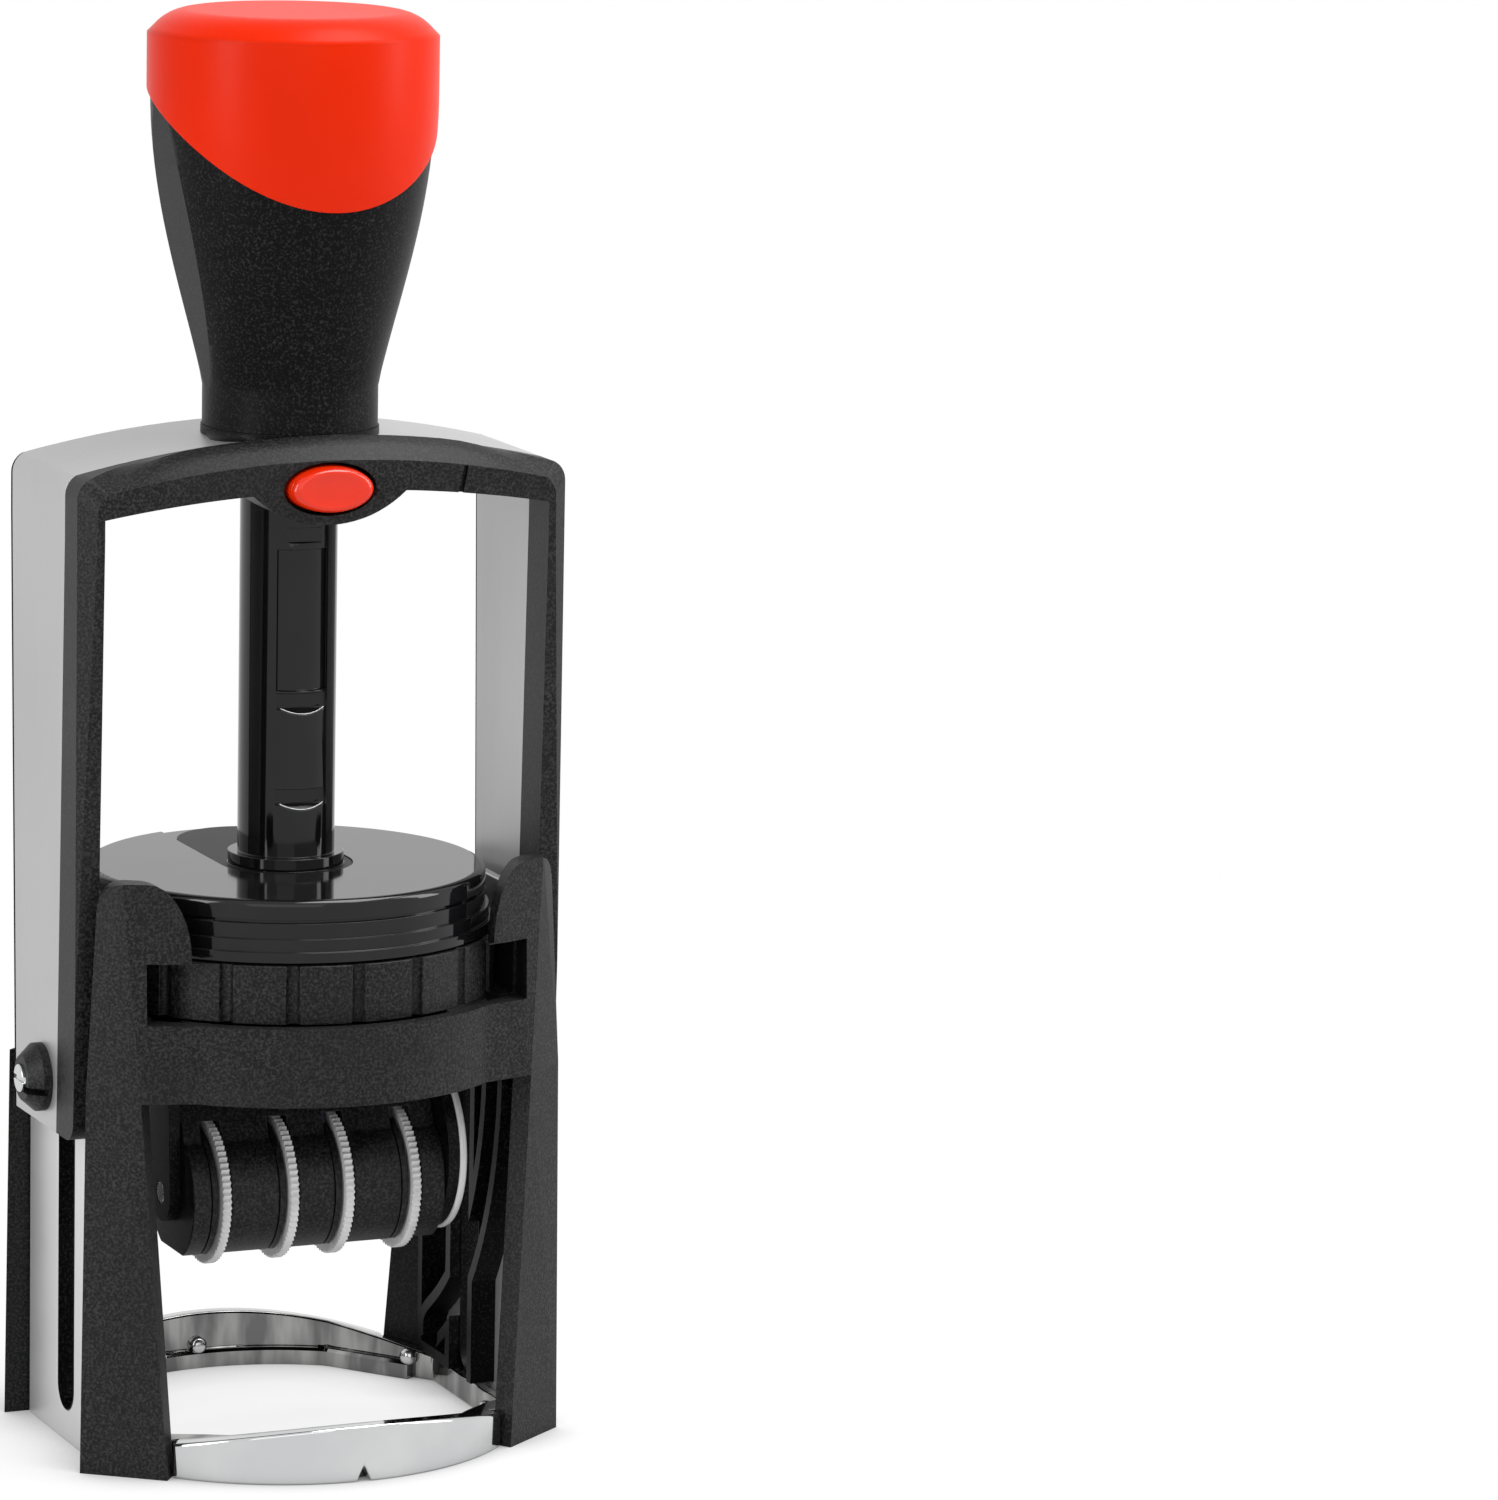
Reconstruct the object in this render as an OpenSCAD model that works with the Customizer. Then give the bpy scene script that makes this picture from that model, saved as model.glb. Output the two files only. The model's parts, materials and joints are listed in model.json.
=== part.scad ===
// Self-inking time stamp with a flip carrier, a notched guide column and a round foot.
// The column's axis is the Z axis, the foot rests on z = 0 and the front faces -Y.

/* [Foot and frame] */
// Outer radius of the foot ring
foot_r = 33.2; // [31:0.1:36]
// Radial thickness of the foot ring
foot_wall = 2.3; // [1.5:0.1:3]
// Height of the foot ring at its front and back
foot_h = 7.8; // [6:0.1:9]
// Radius of the foot ring's crowned upper edge
foot_crown_r = 95; // [80:1:140]
// Half the inner width of the foot ring
foot_inner_x = 27.6; // [27:0.1:28]
// Half the width of the frame over its legs
leg_x = 35; // [34.5:0.1:36]
// How far in front of the axis the legs begin
leg_y = 16.4; // [16.2:0.1:17.5]
// Thickness of the legs
leg_t = 2.8; // [2.4:0.1:3.2]
// Half the distance between the legs' toes
toe_x = 25.1; // [24.5:0.1:26]
// How far in front of the axis the toes reach
toe_y = 24; // [23.5:0.1:24.5]
// Outer radius of the frame's front and rear bands
band_r = 31.5; // [31:0.1:32.5]
// Wall of the bands
band_wall = 2; // [1.5:0.1:2.4]
// Underside of the bands
band_z = 52; // [51:0.5:53]
// Height of the bands
band_h = 10.8; // [9:0.1:11]
// Top of the corner posts
post_top_z = 82; // [81:0.5:84]

/* [Pad] */
// Height of the pad cassette
cassette_h = 8; // [7.6:0.1:8.2]
// Half the width of the pad cassette
cassette_x = 26.8; // [26.5:0.1:27]
// Radius of the pad cassette's front
cassette_r = 29; // [28:0.1:29.2]
// Thickness of the cassette's roof
cassette_roof = 2.4; // [2:0.1:2.8]
// Radius of the ink pad
pad_r = 23.4; // [23:0.1:23.8]
// Number of grip grooves round the cassette's front
groove_count = 7; // [5:2:9]
// Angle between two grip grooves
groove_step = 18; // [14:1:20]
// Radius of a grip groove
groove_r = 0.9; // [0.6:0.1:1.1]
// Radius of the pad cover
cover_r = 28.6; // [27.5:0.1:28.8]
// Height of the pad cover
cover_h = 8.4; // [7:0.1:9]

/* [Column] */
// Radius of the guide column
column_r = 6.7; // [6.5:0.1:7]
// Radius of the spring's bore in the column
column_bore_r = 3.2; // [3:0.1:3.4]
// Top of the column
column_top_z = 146; // [145:0.5:147]
// Half the width of the notches in the column's front
groove_x = 3.7; // [3.6:0.1:4]

/* [Yoke] */
// Half the width of the yoke
yoke_x = 35.1; // [34.9:0.1:35.6]
// Thickness of the yoke's strap
strap_t = 2; // [1.5:0.1:2.1]
// Crown of the yoke's back at the middle
yoke_top_z = 139.9; // [139.5:0.1:140.2]
// Radius of the yoke's crowned back
yoke_crown_r = 145; // [120:1:200]
// Radius of the yoke's shoulders
yoke_corner_r = 3; // [2:0.1:4]
// Lower end of the yoke's legs
yoke_foot_z = 45.2; // [45:0.1:46.5]
// Front edge of the strap at the top
strap_front_y = -8.6; // [-9:0.1:-8.2]
// Rear edge of the strap at the top
strap_rear_y = 13.8; // [13:0.1:14]
// How far each edge of the strap draws in towards its foot
strap_draw = 2.6; // [0:0.1:3]
// Front face of the front bezel
bezel_front_y = -16; // [-16.1:0.1:-15.5]
// Thickness of the rear bezel
rear_bezel_t = 2; // [1.5:0.1:2.2]
// Width of the bezels' uprights
bezel_w = 3.2; // [2.8:0.1:3.4]
// Width of the front bezel's bevel
bezel_bevel = 2.2; // [1:0.1:2.4]
// Lower edge of the bezels' cross beams
beam_z = 133.2; // [132.5:0.1:133.5]

/* [Handle] */
// Radius of the grip's neck
neck_r = 12; // [11.5:0.1:12.5]
// Bottom of the grip
grip_z = 140.6; // [140.4:0.1:141]
// Radius of the grip under the cap
crown_r = 19.3; // [18.5:0.1:20]
// Height at which the grip begins to flare
flare_z = 146; // [145:0.5:148]
// Height at which the grip is widest
crown_z = 186; // [184:0.5:187]
// Steepness of the flare
flare_power = 1.15; // [1:0.05:1.4]
// Depth of the flats on the grip's sides
side_flat = 0.9; // [0.4:0.1:1.2]
// Thickness of the cap
cap_t = 1.6; // [1.2:0.1:2]
// How far the cap stands proud of the grip
cap_proud = 0.5; // [0.3:0.1:0.8]
// Height of the cap's top above the widest level of the grip
cap_rise = 11; // [10:0.5:13]
// Radius of the cap's flat top
cap_flat_r = 14.5; // [13:0.5:16]
// Radius of the curve of the cap's lower edge
lobe_r = 40; // [34:1:50]
// Slope of the cap's lower edge from back to front
lobe_tilt = 22; // [15:1:25]
// Lowest point of the cap's front lobe
lobe_z = 171; // [170:0.5:174]

/* [Lock button] */
// Width of the button
button_w = 12.6; // [11:0.1:13]
// Height of the button
button_h = 6.6; // [6:0.1:7]
// Height of the button's middle above the bezels' cross beams
button_rise = 0.6; // [0.4:0.1:0.8]
// How far the button stands proud of the bezel
button_proud = 1.6; // [1:0.1:2.5]
// Travel of the button
button_travel = 1.7; // [1.2:0.1:1.8]

/* [Flip carrier] */
// Height of the flip axis at rest
axis_z = 51.8; // [51.6:0.1:52]
// Stroke of the handle
stroke = 44; // [43.5:0.1:44.2]
// Radius of the axle pins
pin_r = 3; // [2.6:0.1:3.1]
// Distance from the flip axis to the printing face
face_h = 7.6; // [7.4:0.1:7.7]
// Radius of the time ring
ring_r = 23.4; // [22.8:0.1:23.6]
// Radius of the text die inside the time ring
text_r = 14.6; // [13.5:0.1:15]
// Distance of the guide pins from the flip axis
guide_arm = 11.5; // [10.5:0.1:12]
// Radius of the guide pins
guide_r = 1.6; // [1.3:0.1:1.8]
// How far in front of the flip axis the date wheels turn
wheel_y = -6; // [-6.5:0.1:-5.5]
// Height of the date wheels' axle at rest
wheel_z = 35.7; // [35.2:0.1:36.2]
// Radius of the date wheels over their teeth
wheel_r = 10.3; // [9.8:0.1:10.6]
// Thickness of a date wheel
wheel_t = 1.2; // [1:0.1:1.6]
// Number of teeth on a date wheel
tooth_count = 72; // [48:1:96]
// Radius of the date wheels' axle
axle_r = 1.5; // [1.2:0.1:1.7]
// Radius of the drum round the date wheels
drum_r = 9.2; // [8.8:0.1:9.4]
// Wall of the drum
drum_wall = 1.6; // [1.2:0.1:2]

/* [Springs] */
// Radius of the return spring's coil
spring_r = 2.3; // [2:0.1:2.4]
// Wire radius of the return spring
spring_wire = 0.5; // [0.3:0.05:0.55]
// Turns of the return spring
spring_turns = 26; // [20:1:32]
// Radius of the lock spring's coil
lock_spring_r = 1.6; // [1.4:0.1:1.7]
// Wire radius of the lock spring
lock_spring_wire = 0.2; // [0.15:0.05:0.25]
// Turns of the lock spring
lock_spring_turns = 3; // [2:1:3]

/* [Fits] */
// Gap between a pin and the bore it turns or slides in
running_fit = 0.06; // [0.02:0.01:0.1]
// Gap between pieces that move past each other
gap = 0.35; // [0.3:0.05:0.5]
// Gap under a piece that slides on a flat face
slide_gap = 0.15; // [0.1:0.05:0.2]
// Gap between fixed pieces that sit beside each other
seat = 0.05; // [0:0.01:0.1]

/* [Hidden] */
$fn = 64;

// Oversize of a cutting body past the face it cuts
over = 1;
// Far enough to cut through the whole object
through = 200;

// Levels of the pad stack, from the bands upwards
cassette_z = band_z + band_h + slide_gap;
cassette_top_z = cassette_z + cassette_h;
cover_z = cassette_top_z + gap;
cover_top_z = cover_z + cover_h;
ledge_t = 2;

// Side walls, from the inside out
plate_t = 1.4;
plate_out_x = yoke_x - bezel_w - gap;
plate_in_x = plate_out_x - plate_t;
cheek_t = 2.4;
cheek_in_x = plate_in_x - cheek_t;
rail_t = 1.2;
rail_in_x = cheek_in_x - rail_t;
wall_y = leg_y - 0.6;
cheek_foot_z = foot_h - foot_crown_r + sqrt(foot_crown_r * foot_crown_r - rail_in_x * rail_in_x) + seat;
cheek_rib = 1.6;
cheek_top_z = cassette_z - ledge_t - slide_gap;
plate_top_z = 76;

// Outer corner and crease of a front left leg at the floor, at the bands and at the top of its post
leg_corners = [[-leg_x, -leg_y], [-leg_x + 0.6, -leg_y], [-leg_x + 2.2, -leg_y]];
leg_creases = [[-toe_x, -toe_y], [-toe_x - 3.2, -toe_y + 2.5], [-toe_x - 5.3, -toe_y + 4.5]];
toe_inside = leg_creases[0] + leg_t * facet_normal(leg_corners[0], leg_creases[0]);
corner_slant = 52;
corner_reach = -toe_inside * [sin(corner_slant), cos(corner_slant)] - gap;
band_end_x = 21;
band_end_y = sqrt(band_r * band_r - band_end_x * band_end_x);

// Slot that the axle pins run in
slot_half = pin_r + 0.4;
slot_low_z = axis_z - stroke - pin_r - 0.4;
slot_high_z = axis_z + pin_r + 0.5;

// Printing face and carrier plate at rest
face_z = axis_z + face_h;
rubber_t = 1.8;
ring_t = 1.4;
carrier_t = 1.8;
plate_z = face_z - rubber_t - ring_t - gap - carrier_t;
ring_z = face_z - rubber_t - ring_t;
ring_in_r = text_r + running_fit;

// Date wheels, their hubs and the bands that they drive
wheel_places = [-13.85, -4.05, 4.05, 13.85];
hub_sides = [1, 1, -1, -1];
hub_widths = [3.6, 2.6, 2.6, 3.6];
hub_r = 5.4;
band_t = 0.9;
nose_r = 1.4;
nose_z = face_z - nose_r - band_t - 0.1;
slot_room = 0.4;
slot_side = 1.3;
bridge_x = 13.3;
drum_x = 18.4;
drum_foot_z = wheel_z - 8.1;
end_t = 1.6;
end_x = drum_x + seat;
disc_r = 12;
disc_t = 1;
disc_rim = 0.3;
disc_x = end_x + end_t + seat;
disc_y = -4.5;
disc_z = 39.4;
hub_boss_r = 4;
knob_r = 4.7;
knob_t = 3;
screw_r = 1.9;
arm_x = 24.2;
arm_t = 1.9;

// Lock button and the notches that its tongue drops into
button_z = beam_z + button_rise;
tongue_x = 3.2;
prong_x = 2.2;
tongue_h = 1.5;
tongue_y = -column_r - gap;
notch_floor_y = tongue_y + button_travel + gap;
notch_half = tongue_h / 2 + gap;
notch_lip = 0.9;
lock_bay_h = max(tongue_h, 2 * (lock_spring_r + lock_spring_wire)) + 2 * gap;
mid_lock = 30.7;
lock_seat_y = -column_r - 0.9;
button_back_y = bezel_front_y + 2.2;
lock_heights = [button_z, button_z - mid_lock, button_z - stroke];
pocket_low_z = button_z - mid_lock + notch_half + 0.4;
pocket_high_z = button_z - 8.7;
pocket_depth = 0.5;
panel_h = 2;

// Height above which the yoke's edges run straight up
draw_z = 128;

// Handle bushing and cavity
bush_r = 8.5;
bush_top_z = 142.8;
cavity_r = 9.6;
stop_r = 8.6;
stop_z = bush_top_z + gap;
cap_rim_r = crown_r + cap_proud;
cap_top_z = crown_z + cap_rise;
cavity_top_z = column_top_z + stroke + 0.6;

// Radius of the grip's outline at a height
function flare(z) =
    let (t = min(1, max(0, (z - flare_z) / (crown_z - flare_z))))
    neck_r + (crown_r - neck_r) * pow(sin(90 * t), flare_power);

// Unit normal of a leg's facet, towards the axis
function facet_normal(a, b) =
    let (d = (b - a) / norm(b - a))
    [-d[1], d[0]];

// Path of a guide pin as the carrier sinks and turns, for an angle of turn
function guide_path(a) =
    [-guide_arm * cos(a), axis_z - stroke * a / 180 - guide_arm * sin(a)];

// Unit normal to that path
function guide_normal(a) =
    let (d = [guide_arm * sin(a), -stroke / PI - guide_arm * cos(a)])
    [-d[1], d[0]] / norm(d);

// Both sides of a strip of a given half width along the guide path
function guide_strip(half) = concat(
    [for (a = [-6 : 6 : 186]) guide_path(a) + half * guide_normal(a)],
    [for (a = [186 : -6 : -6]) guide_path(a) - half * guide_normal(a)]
);

// Points of one ring of a wire that follows a helix about the Z axis
function coil_ring(r, wire, pitch, turn, sides) =
    let (
        middle = [r * cos(360 * turn), r * sin(360 * turn), pitch * turn],
        out = [cos(360 * turn), sin(360 * turn), 0]
    )
    [for (k = [0 : sides - 1])
        middle + wire * (cos(360 * k / sides) * out + [0, 0, sin(360 * k / sides)])];

// Least gap of a coil to itself, from one point of the wire to those half a turn to a turn and a half on
function coil_gap(r, wire, pitch, steps) = min([
    for (i = [0 : steps])
        let (t = 0.5 + i / steps)
        norm([r * cos(360 * t) - r, r * sin(360 * t), pitch * t]) - 2 * wire
]);

// A spring as one unbroken tube of wire that climbs the Z axis
module coil(r, wire, length, turns) {
    sides = 6;
    rings = 8 * turns;
    pitch = (length - 2 * wire) / turns;
    points = [for (i = [0 : rings]) each coil_ring(r, wire, pitch, i / 8, sides)];
    skin = [for (i = [0 : rings - 1], k = [0 : sides - 1])
        let (
            a = i * sides + k,
            b = i * sides + (k + 1) % sides,
            c = a + sides,
            d = b + sides
        )
        each [[a, c, b], [b, c, d]]];
    first = [for (k = [1 : sides - 2]) [0, k, k + 1]];
    last = [for (k = [1 : sides - 2])
        let (base = rings * sides)
        [base, base + k + 1, base + k]];
    translate([0, 0, wire]) polyhedron(points, concat(skin, first, last));
    echo(least_gap = coil_gap(r, wire, pitch, 48));
}

// A shape given on the left side, with its mirror image on the right
module both_sides() {
    children();
    mirror([1, 0, 0]) children();
}

// A flat outline drawn in Y and Z, given thickness along X
module side_profile(x0, x1) {
    translate([x0, 0, 0]) rotate([90, 0, 90]) linear_extrude(x1 - x0) children();
}

// A flat outline drawn in X and Z, given depth along Y
module front_profile(y0, y1) {
    translate([0, y1, 0]) rotate([90, 0, 0]) linear_extrude(y1 - y0) children();
}

// A rod along X
module cross_rod(r, x0, x1, y, z) {
    translate([x0, y, z]) rotate([0, 90, 0]) cylinder(r = r, h = x1 - x0);
}

// Plan of the space inside the foot ring, with its corners cut off beside the legs
module foot_window() {
    intersection() {
        circle(r = foot_r - foot_wall, $fn = 128);
        square([2 * foot_inner_x, 2 * foot_r], center = true);
        intersection_for(side = [-1, 1]) {
            rotate(side * corner_slant) square([2 * foot_r, 2 * (corner_reach - foot_wall)], center = true);
        }
    }
}

// Room round a front left leg, from its inner side outwards
module leg_room() {
    d = leg_creases[0] - leg_corners[0];
    beyond = 10;
    translate(concat(leg_corners[0], [-over])) rotate(atan2(d[1], d[0])) translate([-beyond, -beyond, 0])
        cube([beyond + norm(d) + gap, beyond + leg_t + gap, through]);
}

module foot_ring() {
    mark_half = 1.5;
    mark_h = 2.2;
    color("silver") difference() {
        intersection() {
            linear_extrude(foot_h) difference() {
                intersection() {
                    circle(r = foot_r, $fn = 128);
                    square([2 * plate_in_x, 2 * foot_r], center = true);
                }
                foot_window();
            }
            translate([0, foot_r, foot_h - foot_crown_r]) rotate([90, 0, 0])
                cylinder(r = foot_crown_r, h = 2 * foot_r, $fn = 256);
        }
        both_sides() {
            leg_room();
            mirror([0, 1, 0]) leg_room();
        }
        front_profile(-foot_r - over, -foot_r + foot_wall + over)
            polygon([[-mark_half, -over], [mark_half, -over], [0, mark_h]]);
    }
}

// Side plate with the slot that guides the axle
module side_plate() {
    color("gainsboro") side_profile(-plate_out_x, -plate_in_x) difference() {
        translate([-wall_y, 0]) square([2 * wall_y, plate_top_z]);
        axle_slot(slot_low_z);
    }
}

// Outline of the upright slot, down to a height
module axle_slot(low) {
    translate([-slot_half, low + slot_half])
        square([2 * slot_half, slot_high_z - low - 2 * slot_half]);
    for (z = [low + slot_half, slot_high_z - slot_half]) {
        translate([0, z]) circle(r = slot_half);
    }
}

// A bar of the cheek between two corners given in Y and Z
module cheek_bar(low, high) {
    translate([-plate_in_x, low[0], low[1]])
        cube([plate_in_x - rail_in_x, high[0] - low[0], high[1] - low[1]]);
}

// Cheek with the curved track that turns the carrier as it sinks, tied by bars at the top and the back
module guide_cheek() {
    track_half = guide_r + 0.45;
    rib_y = slot_half + cheek_rib;
    color("dimgray") difference() {
        union() {
            side_profile(-plate_in_x, -rail_in_x) polygon(guide_strip(track_half + cheek_rib));
            cheek_bar([-rib_y, cheek_foot_z], [rib_y, cheek_top_z]);
            cheek_bar([-wall_y, axis_z - 1], [wall_y, cheek_top_z]);
            cheek_bar([wall_y - cheek_rib, cheek_foot_z], [wall_y, cheek_top_z]);
            cheek_bar([0, cheek_foot_z], [wall_y, cheek_foot_z + cheek_rib]);
        }
        side_profile(-plate_in_x - over, -rail_in_x + over) polygon(guide_strip(track_half));
        side_profile(-plate_in_x - over, -rail_in_x + over) axle_slot(slot_low_z - 2 * pin_r);
    }
}

// Plan of a front left leg at one of its levels
module leg_plan(level) {
    a = leg_corners[level];
    b = leg_creases[level];
    n = facet_normal(a, b);
    polygon([a, b, b + leg_t * n, a + [leg_t / n[0], 0]]);
}

// Front left leg from the floor to the band
module leg() {
    slice = 0.4;
    hull() {
        linear_extrude(slice) leg_plan(0);
        translate([0, 0, band_z - slice]) linear_extrude(slice) leg_plan(1);
    }
}

// Plan of a post at one of its levels, from the leg to the end of the band
module post_plan(level) {
    a = leg_corners[level];
    b = leg_creases[level];
    n = facet_normal(a, b);
    polygon([
        a, b, [-band_end_x, -band_end_y],
        [-band_end_x, -band_end_y + band_wall], a + [leg_t / n[0], 0]
    ]);
}

// Corner post above a leg, with its rounded shoulder; a front one leans in and has the finger notch
module corner_post(top, front) {
    shoulder_r = 3;
    shoulder_x = leg_x - 2.2 - shoulder_r;
    slope_x = 27.2;
    slope_half = 5.4;
    slice = 0.4;
    intersection() {
        if (front) {
            hull() {
                translate([0, 0, band_z]) linear_extrude(slice) post_plan(1);
                translate([0, 0, post_top_z - slice]) linear_extrude(slice) post_plan(2);
            }
        } else {
            translate([0, 0, band_z]) linear_extrude(top - band_z) post_plan(2);
        }
        front_profile(-band_r, 0) polygon(concat(
            [[-band_end_x + over, band_z], [-leg_x - over, band_z], [-leg_x - over, top - shoulder_r],
             [-shoulder_x - shoulder_r, top - shoulder_r]],
            [for (a = [170 : -10 : 90]) [-shoulder_x, top - shoulder_r] + shoulder_r * [cos(a), sin(a)]],
            [for (a = [90 : -10 : 0])
                [-slope_x + slope_half * cos(a), cover_z + (top - cover_z) * sin(a)]],
            [[-band_end_x + over, cover_z]]
        ));
        if (front) {
            front_profile(-band_r, 0) difference() {
                translate([-leg_x - over, band_z]) square([leg_x, post_top_z - band_z]);
                translate([-cassette_x - 0.7, band_z + band_h])
                    square([cassette_x, cover_z - band_z - band_h - 0.1]);
            }
        }
    }
}

// Band between two posts
module frame_band(h) {
    intersection() {
        translate([0, 0, band_z]) linear_extrude(h) difference() {
            circle(r = band_r, $fn = 128);
            circle(r = band_r - band_wall, $fn = 128);
        }
        translate([-band_end_x - over, -band_r - over, 0]) cube([2 * (band_end_x + over), band_r, through]);
    }
}

// Rail along one side that the cassette slides on and the cover rests on
module side_rail() {
    side_y = leg_y + 0.8;
    wall_x = cassette_x + gap;
    lip_x = cassette_x - 1.4;
    translate([-plate_in_x, -side_y, cassette_z - ledge_t])
        cube([plate_in_x - wall_x, 2 * side_y, cover_z - cassette_z + ledge_t]);
    translate([-plate_in_x, -side_y, cassette_z - ledge_t])
        cube([plate_in_x - lip_x, 2 * side_y, ledge_t - slide_gap]);
}

module base_frame() {
    color("black") {
        both_sides() {
            leg();
            mirror([0, 1, 0]) leg();
            corner_post(post_top_z, true);
            mirror([0, 1, 0]) corner_post(plate_top_z, false);
            side_rail();
        }
        frame_band(band_h);
        mirror([0, 1, 0]) frame_band(cover_z - band_z - 0.1);
    }
}

module pad_cover() {
    step = 0.5;
    round_r = 1;
    spigot_r = column_r - 1.7;
    color("black") difference() {
        rotate_extrude($fn = 128) difference() {
            union() {
                translate([spigot_r, cover_z]) square([cover_r - spigot_r, 1.4]);
                translate([spigot_r, cover_z]) square([cover_r - step - spigot_r, 3.1]);
                translate([spigot_r, cover_z]) square([cover_r - 2 * step - spigot_r, cover_h - round_r]);
                translate([spigot_r, cover_z])
                    square([cover_r - 2 * step - round_r - spigot_r, cover_h]);
                translate([cover_r - 2 * step - round_r, cover_top_z - round_r]) circle(r = round_r);
            }
            translate([cover_r - 3 * step, cover_z + 5.2]) square([through, 0.5]);
        }
        translate([0, 0, cover_top_z - 0.4]) linear_extrude(through) difference() {
            union() {
                circle(r = column_r + 2.6);
                translate([-column_r - 2.6, 0]) square([2 * column_r + 5.2, cover_r + over]);
            }
            circle(r = column_r + 1.4);
        }
    }
}

module column() {
    lip_r = column_r + 1.3;
    spigot_r = column_r - 1.7;
    neck_z = stop_z;
    color("black") difference() {
        rotate_extrude() difference() {
            union() {
                translate([0, cover_z + 1]) square([spigot_r - seat, cover_h]);
                translate([0, cover_top_z]) square([lip_r, 1.7]);
                translate([0, cover_top_z]) square([column_r, neck_z - cover_top_z]);
                translate([0, cover_top_z]) square([spigot_r, column_top_z - cover_top_z]);
            }
            translate([0, cover_top_z + 2]) square([column_bore_r, through]);
        }
        side_profile(-groove_x, groove_x) polygon([
            [-column_r - over, pocket_high_z], [-column_r + pocket_depth, pocket_high_z],
            [-column_r + pocket_depth, pocket_high_z + panel_h], [-column_r - over, pocket_high_z + panel_h]
        ]);
        difference() {
            translate([-groove_x, -column_r - over, pocket_low_z])
                cube([2 * groove_x, column_r, pocket_high_z - pocket_low_z - 2 * pocket_depth]);
            cylinder(r = column_r - pocket_depth, h = through);
        }
        for (z = lock_heights) {
            side_profile(-groove_x, groove_x) polygon([
                [-column_r - over, z + notch_half], [notch_floor_y, z + notch_half],
                [notch_floor_y, z - notch_half], [notch_floor_y - notch_lip, z - notch_half],
                [-column_r - over, z - notch_half - (column_r + over + notch_floor_y - notch_lip)]
            ]);
        }
    }
}

module column_stop() {
    color("silver") translate([0, 0, stop_z]) difference() {
        cylinder(r = stop_r, h = column_top_z - stop_z);
        translate([0, 0, -over]) cylinder(r = column_r - 1.7 + seat, h = through);
    }
}

// Plan of the pad cassette
module cassette_plan() {
    back_y = 25;
    intersection() {
        circle(r = cassette_r, $fn = 128);
        translate([-cassette_x, -cassette_r]) square([2 * cassette_x, cassette_r + back_y]);
    }
}

module pad_cassette() {
    color("black") difference() {
        translate([0, 0, cassette_z]) linear_extrude(cassette_h) cassette_plan();
        translate([0, 0, cassette_z - over])
            cylinder(r = pad_r + 0.2, h = cassette_h - cassette_roof + over);
        for (i = [0 : groove_count - 1]) {
            rotate((i - (groove_count - 1) / 2) * groove_step)
                translate([0, -cassette_r, cassette_z - over]) cylinder(r = groove_r, h = through, $fn = 24);
        }
    }
}

module ink_pad() {
    pad_t = 4.4;
    color("midnightblue") translate([0, 0, cassette_top_z - cassette_roof - pad_t])
        cylinder(r = pad_r, h = pad_t);
}

// Outline of the yoke's back and legs, drawn in by an inset
module yoke_outline(inset) {
    x = yoke_x - inset;
    top = yoke_top_z - inset;
    corner_z = top - (x - yoke_corner_r) * (x - yoke_corner_r) / (2 * yoke_crown_r) - yoke_corner_r;
    difference() {
        intersection() {
            translate([-x, yoke_foot_z]) square([2 * x, top - yoke_foot_z]);
            translate([0, top - yoke_crown_r]) circle(r = yoke_crown_r, $fn = 360);
        }
        for (side = [-1, 1]) {
            difference() {
                translate([side * (x - yoke_corner_r / 2 + over / 2), corner_z + yoke_corner_r])
                    square([yoke_corner_r + over, 2 * yoke_corner_r], center = true);
                translate([side * (x - yoke_corner_r), corner_z]) circle(r = yoke_corner_r);
            }
        }
    }
}

// Side view of the yoke, whose edges draw in towards the foot
module yoke_side(front, rear) {
    polygon([
        [front + strap_draw, yoke_foot_z], [front, draw_z], [front, through],
        [rear, through], [rear, draw_z], [rear - strap_draw, yoke_foot_z]
    ]);
}

module yoke_band() {
    color("silver") difference() {
        intersection() {
            front_profile(strap_front_y, strap_rear_y) difference() {
                yoke_outline(0);
                translate([0, -over]) yoke_outline_inner();
            }
            side_profile(-yoke_x - over, yoke_x + over) yoke_side(strap_front_y, strap_rear_y);
        }
        translate([0, 0, beam_z]) cylinder(r = bush_r + seat, h = through);
        cross_rod(pin_r + seat, -through, through, 0, axis_z);
    }
}

// Inner outline of the strap, open at the foot
module yoke_outline_inner() {
    union() {
        translate([0, over]) yoke_outline(strap_t);
        translate([-yoke_x + strap_t, yoke_foot_z - over]) square([2 * (yoke_x - strap_t), 5]);
    }
}

// Opening of a bezel below its cross beam
module bezel_opening() {
    translate([-yoke_x + bezel_w, yoke_foot_z - over])
        square([2 * (yoke_x - bezel_w), beam_z - yoke_foot_z + over]);
}

// Oval outline of the lock button, drawn out by an amount
module button_outline(grow) {
    polygon([for (a = [0 : 6 : 354])
        [(button_w / 2 + grow) * cos(a), button_z + (button_h / 2 + grow) * sin(a)]]);
}

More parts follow.
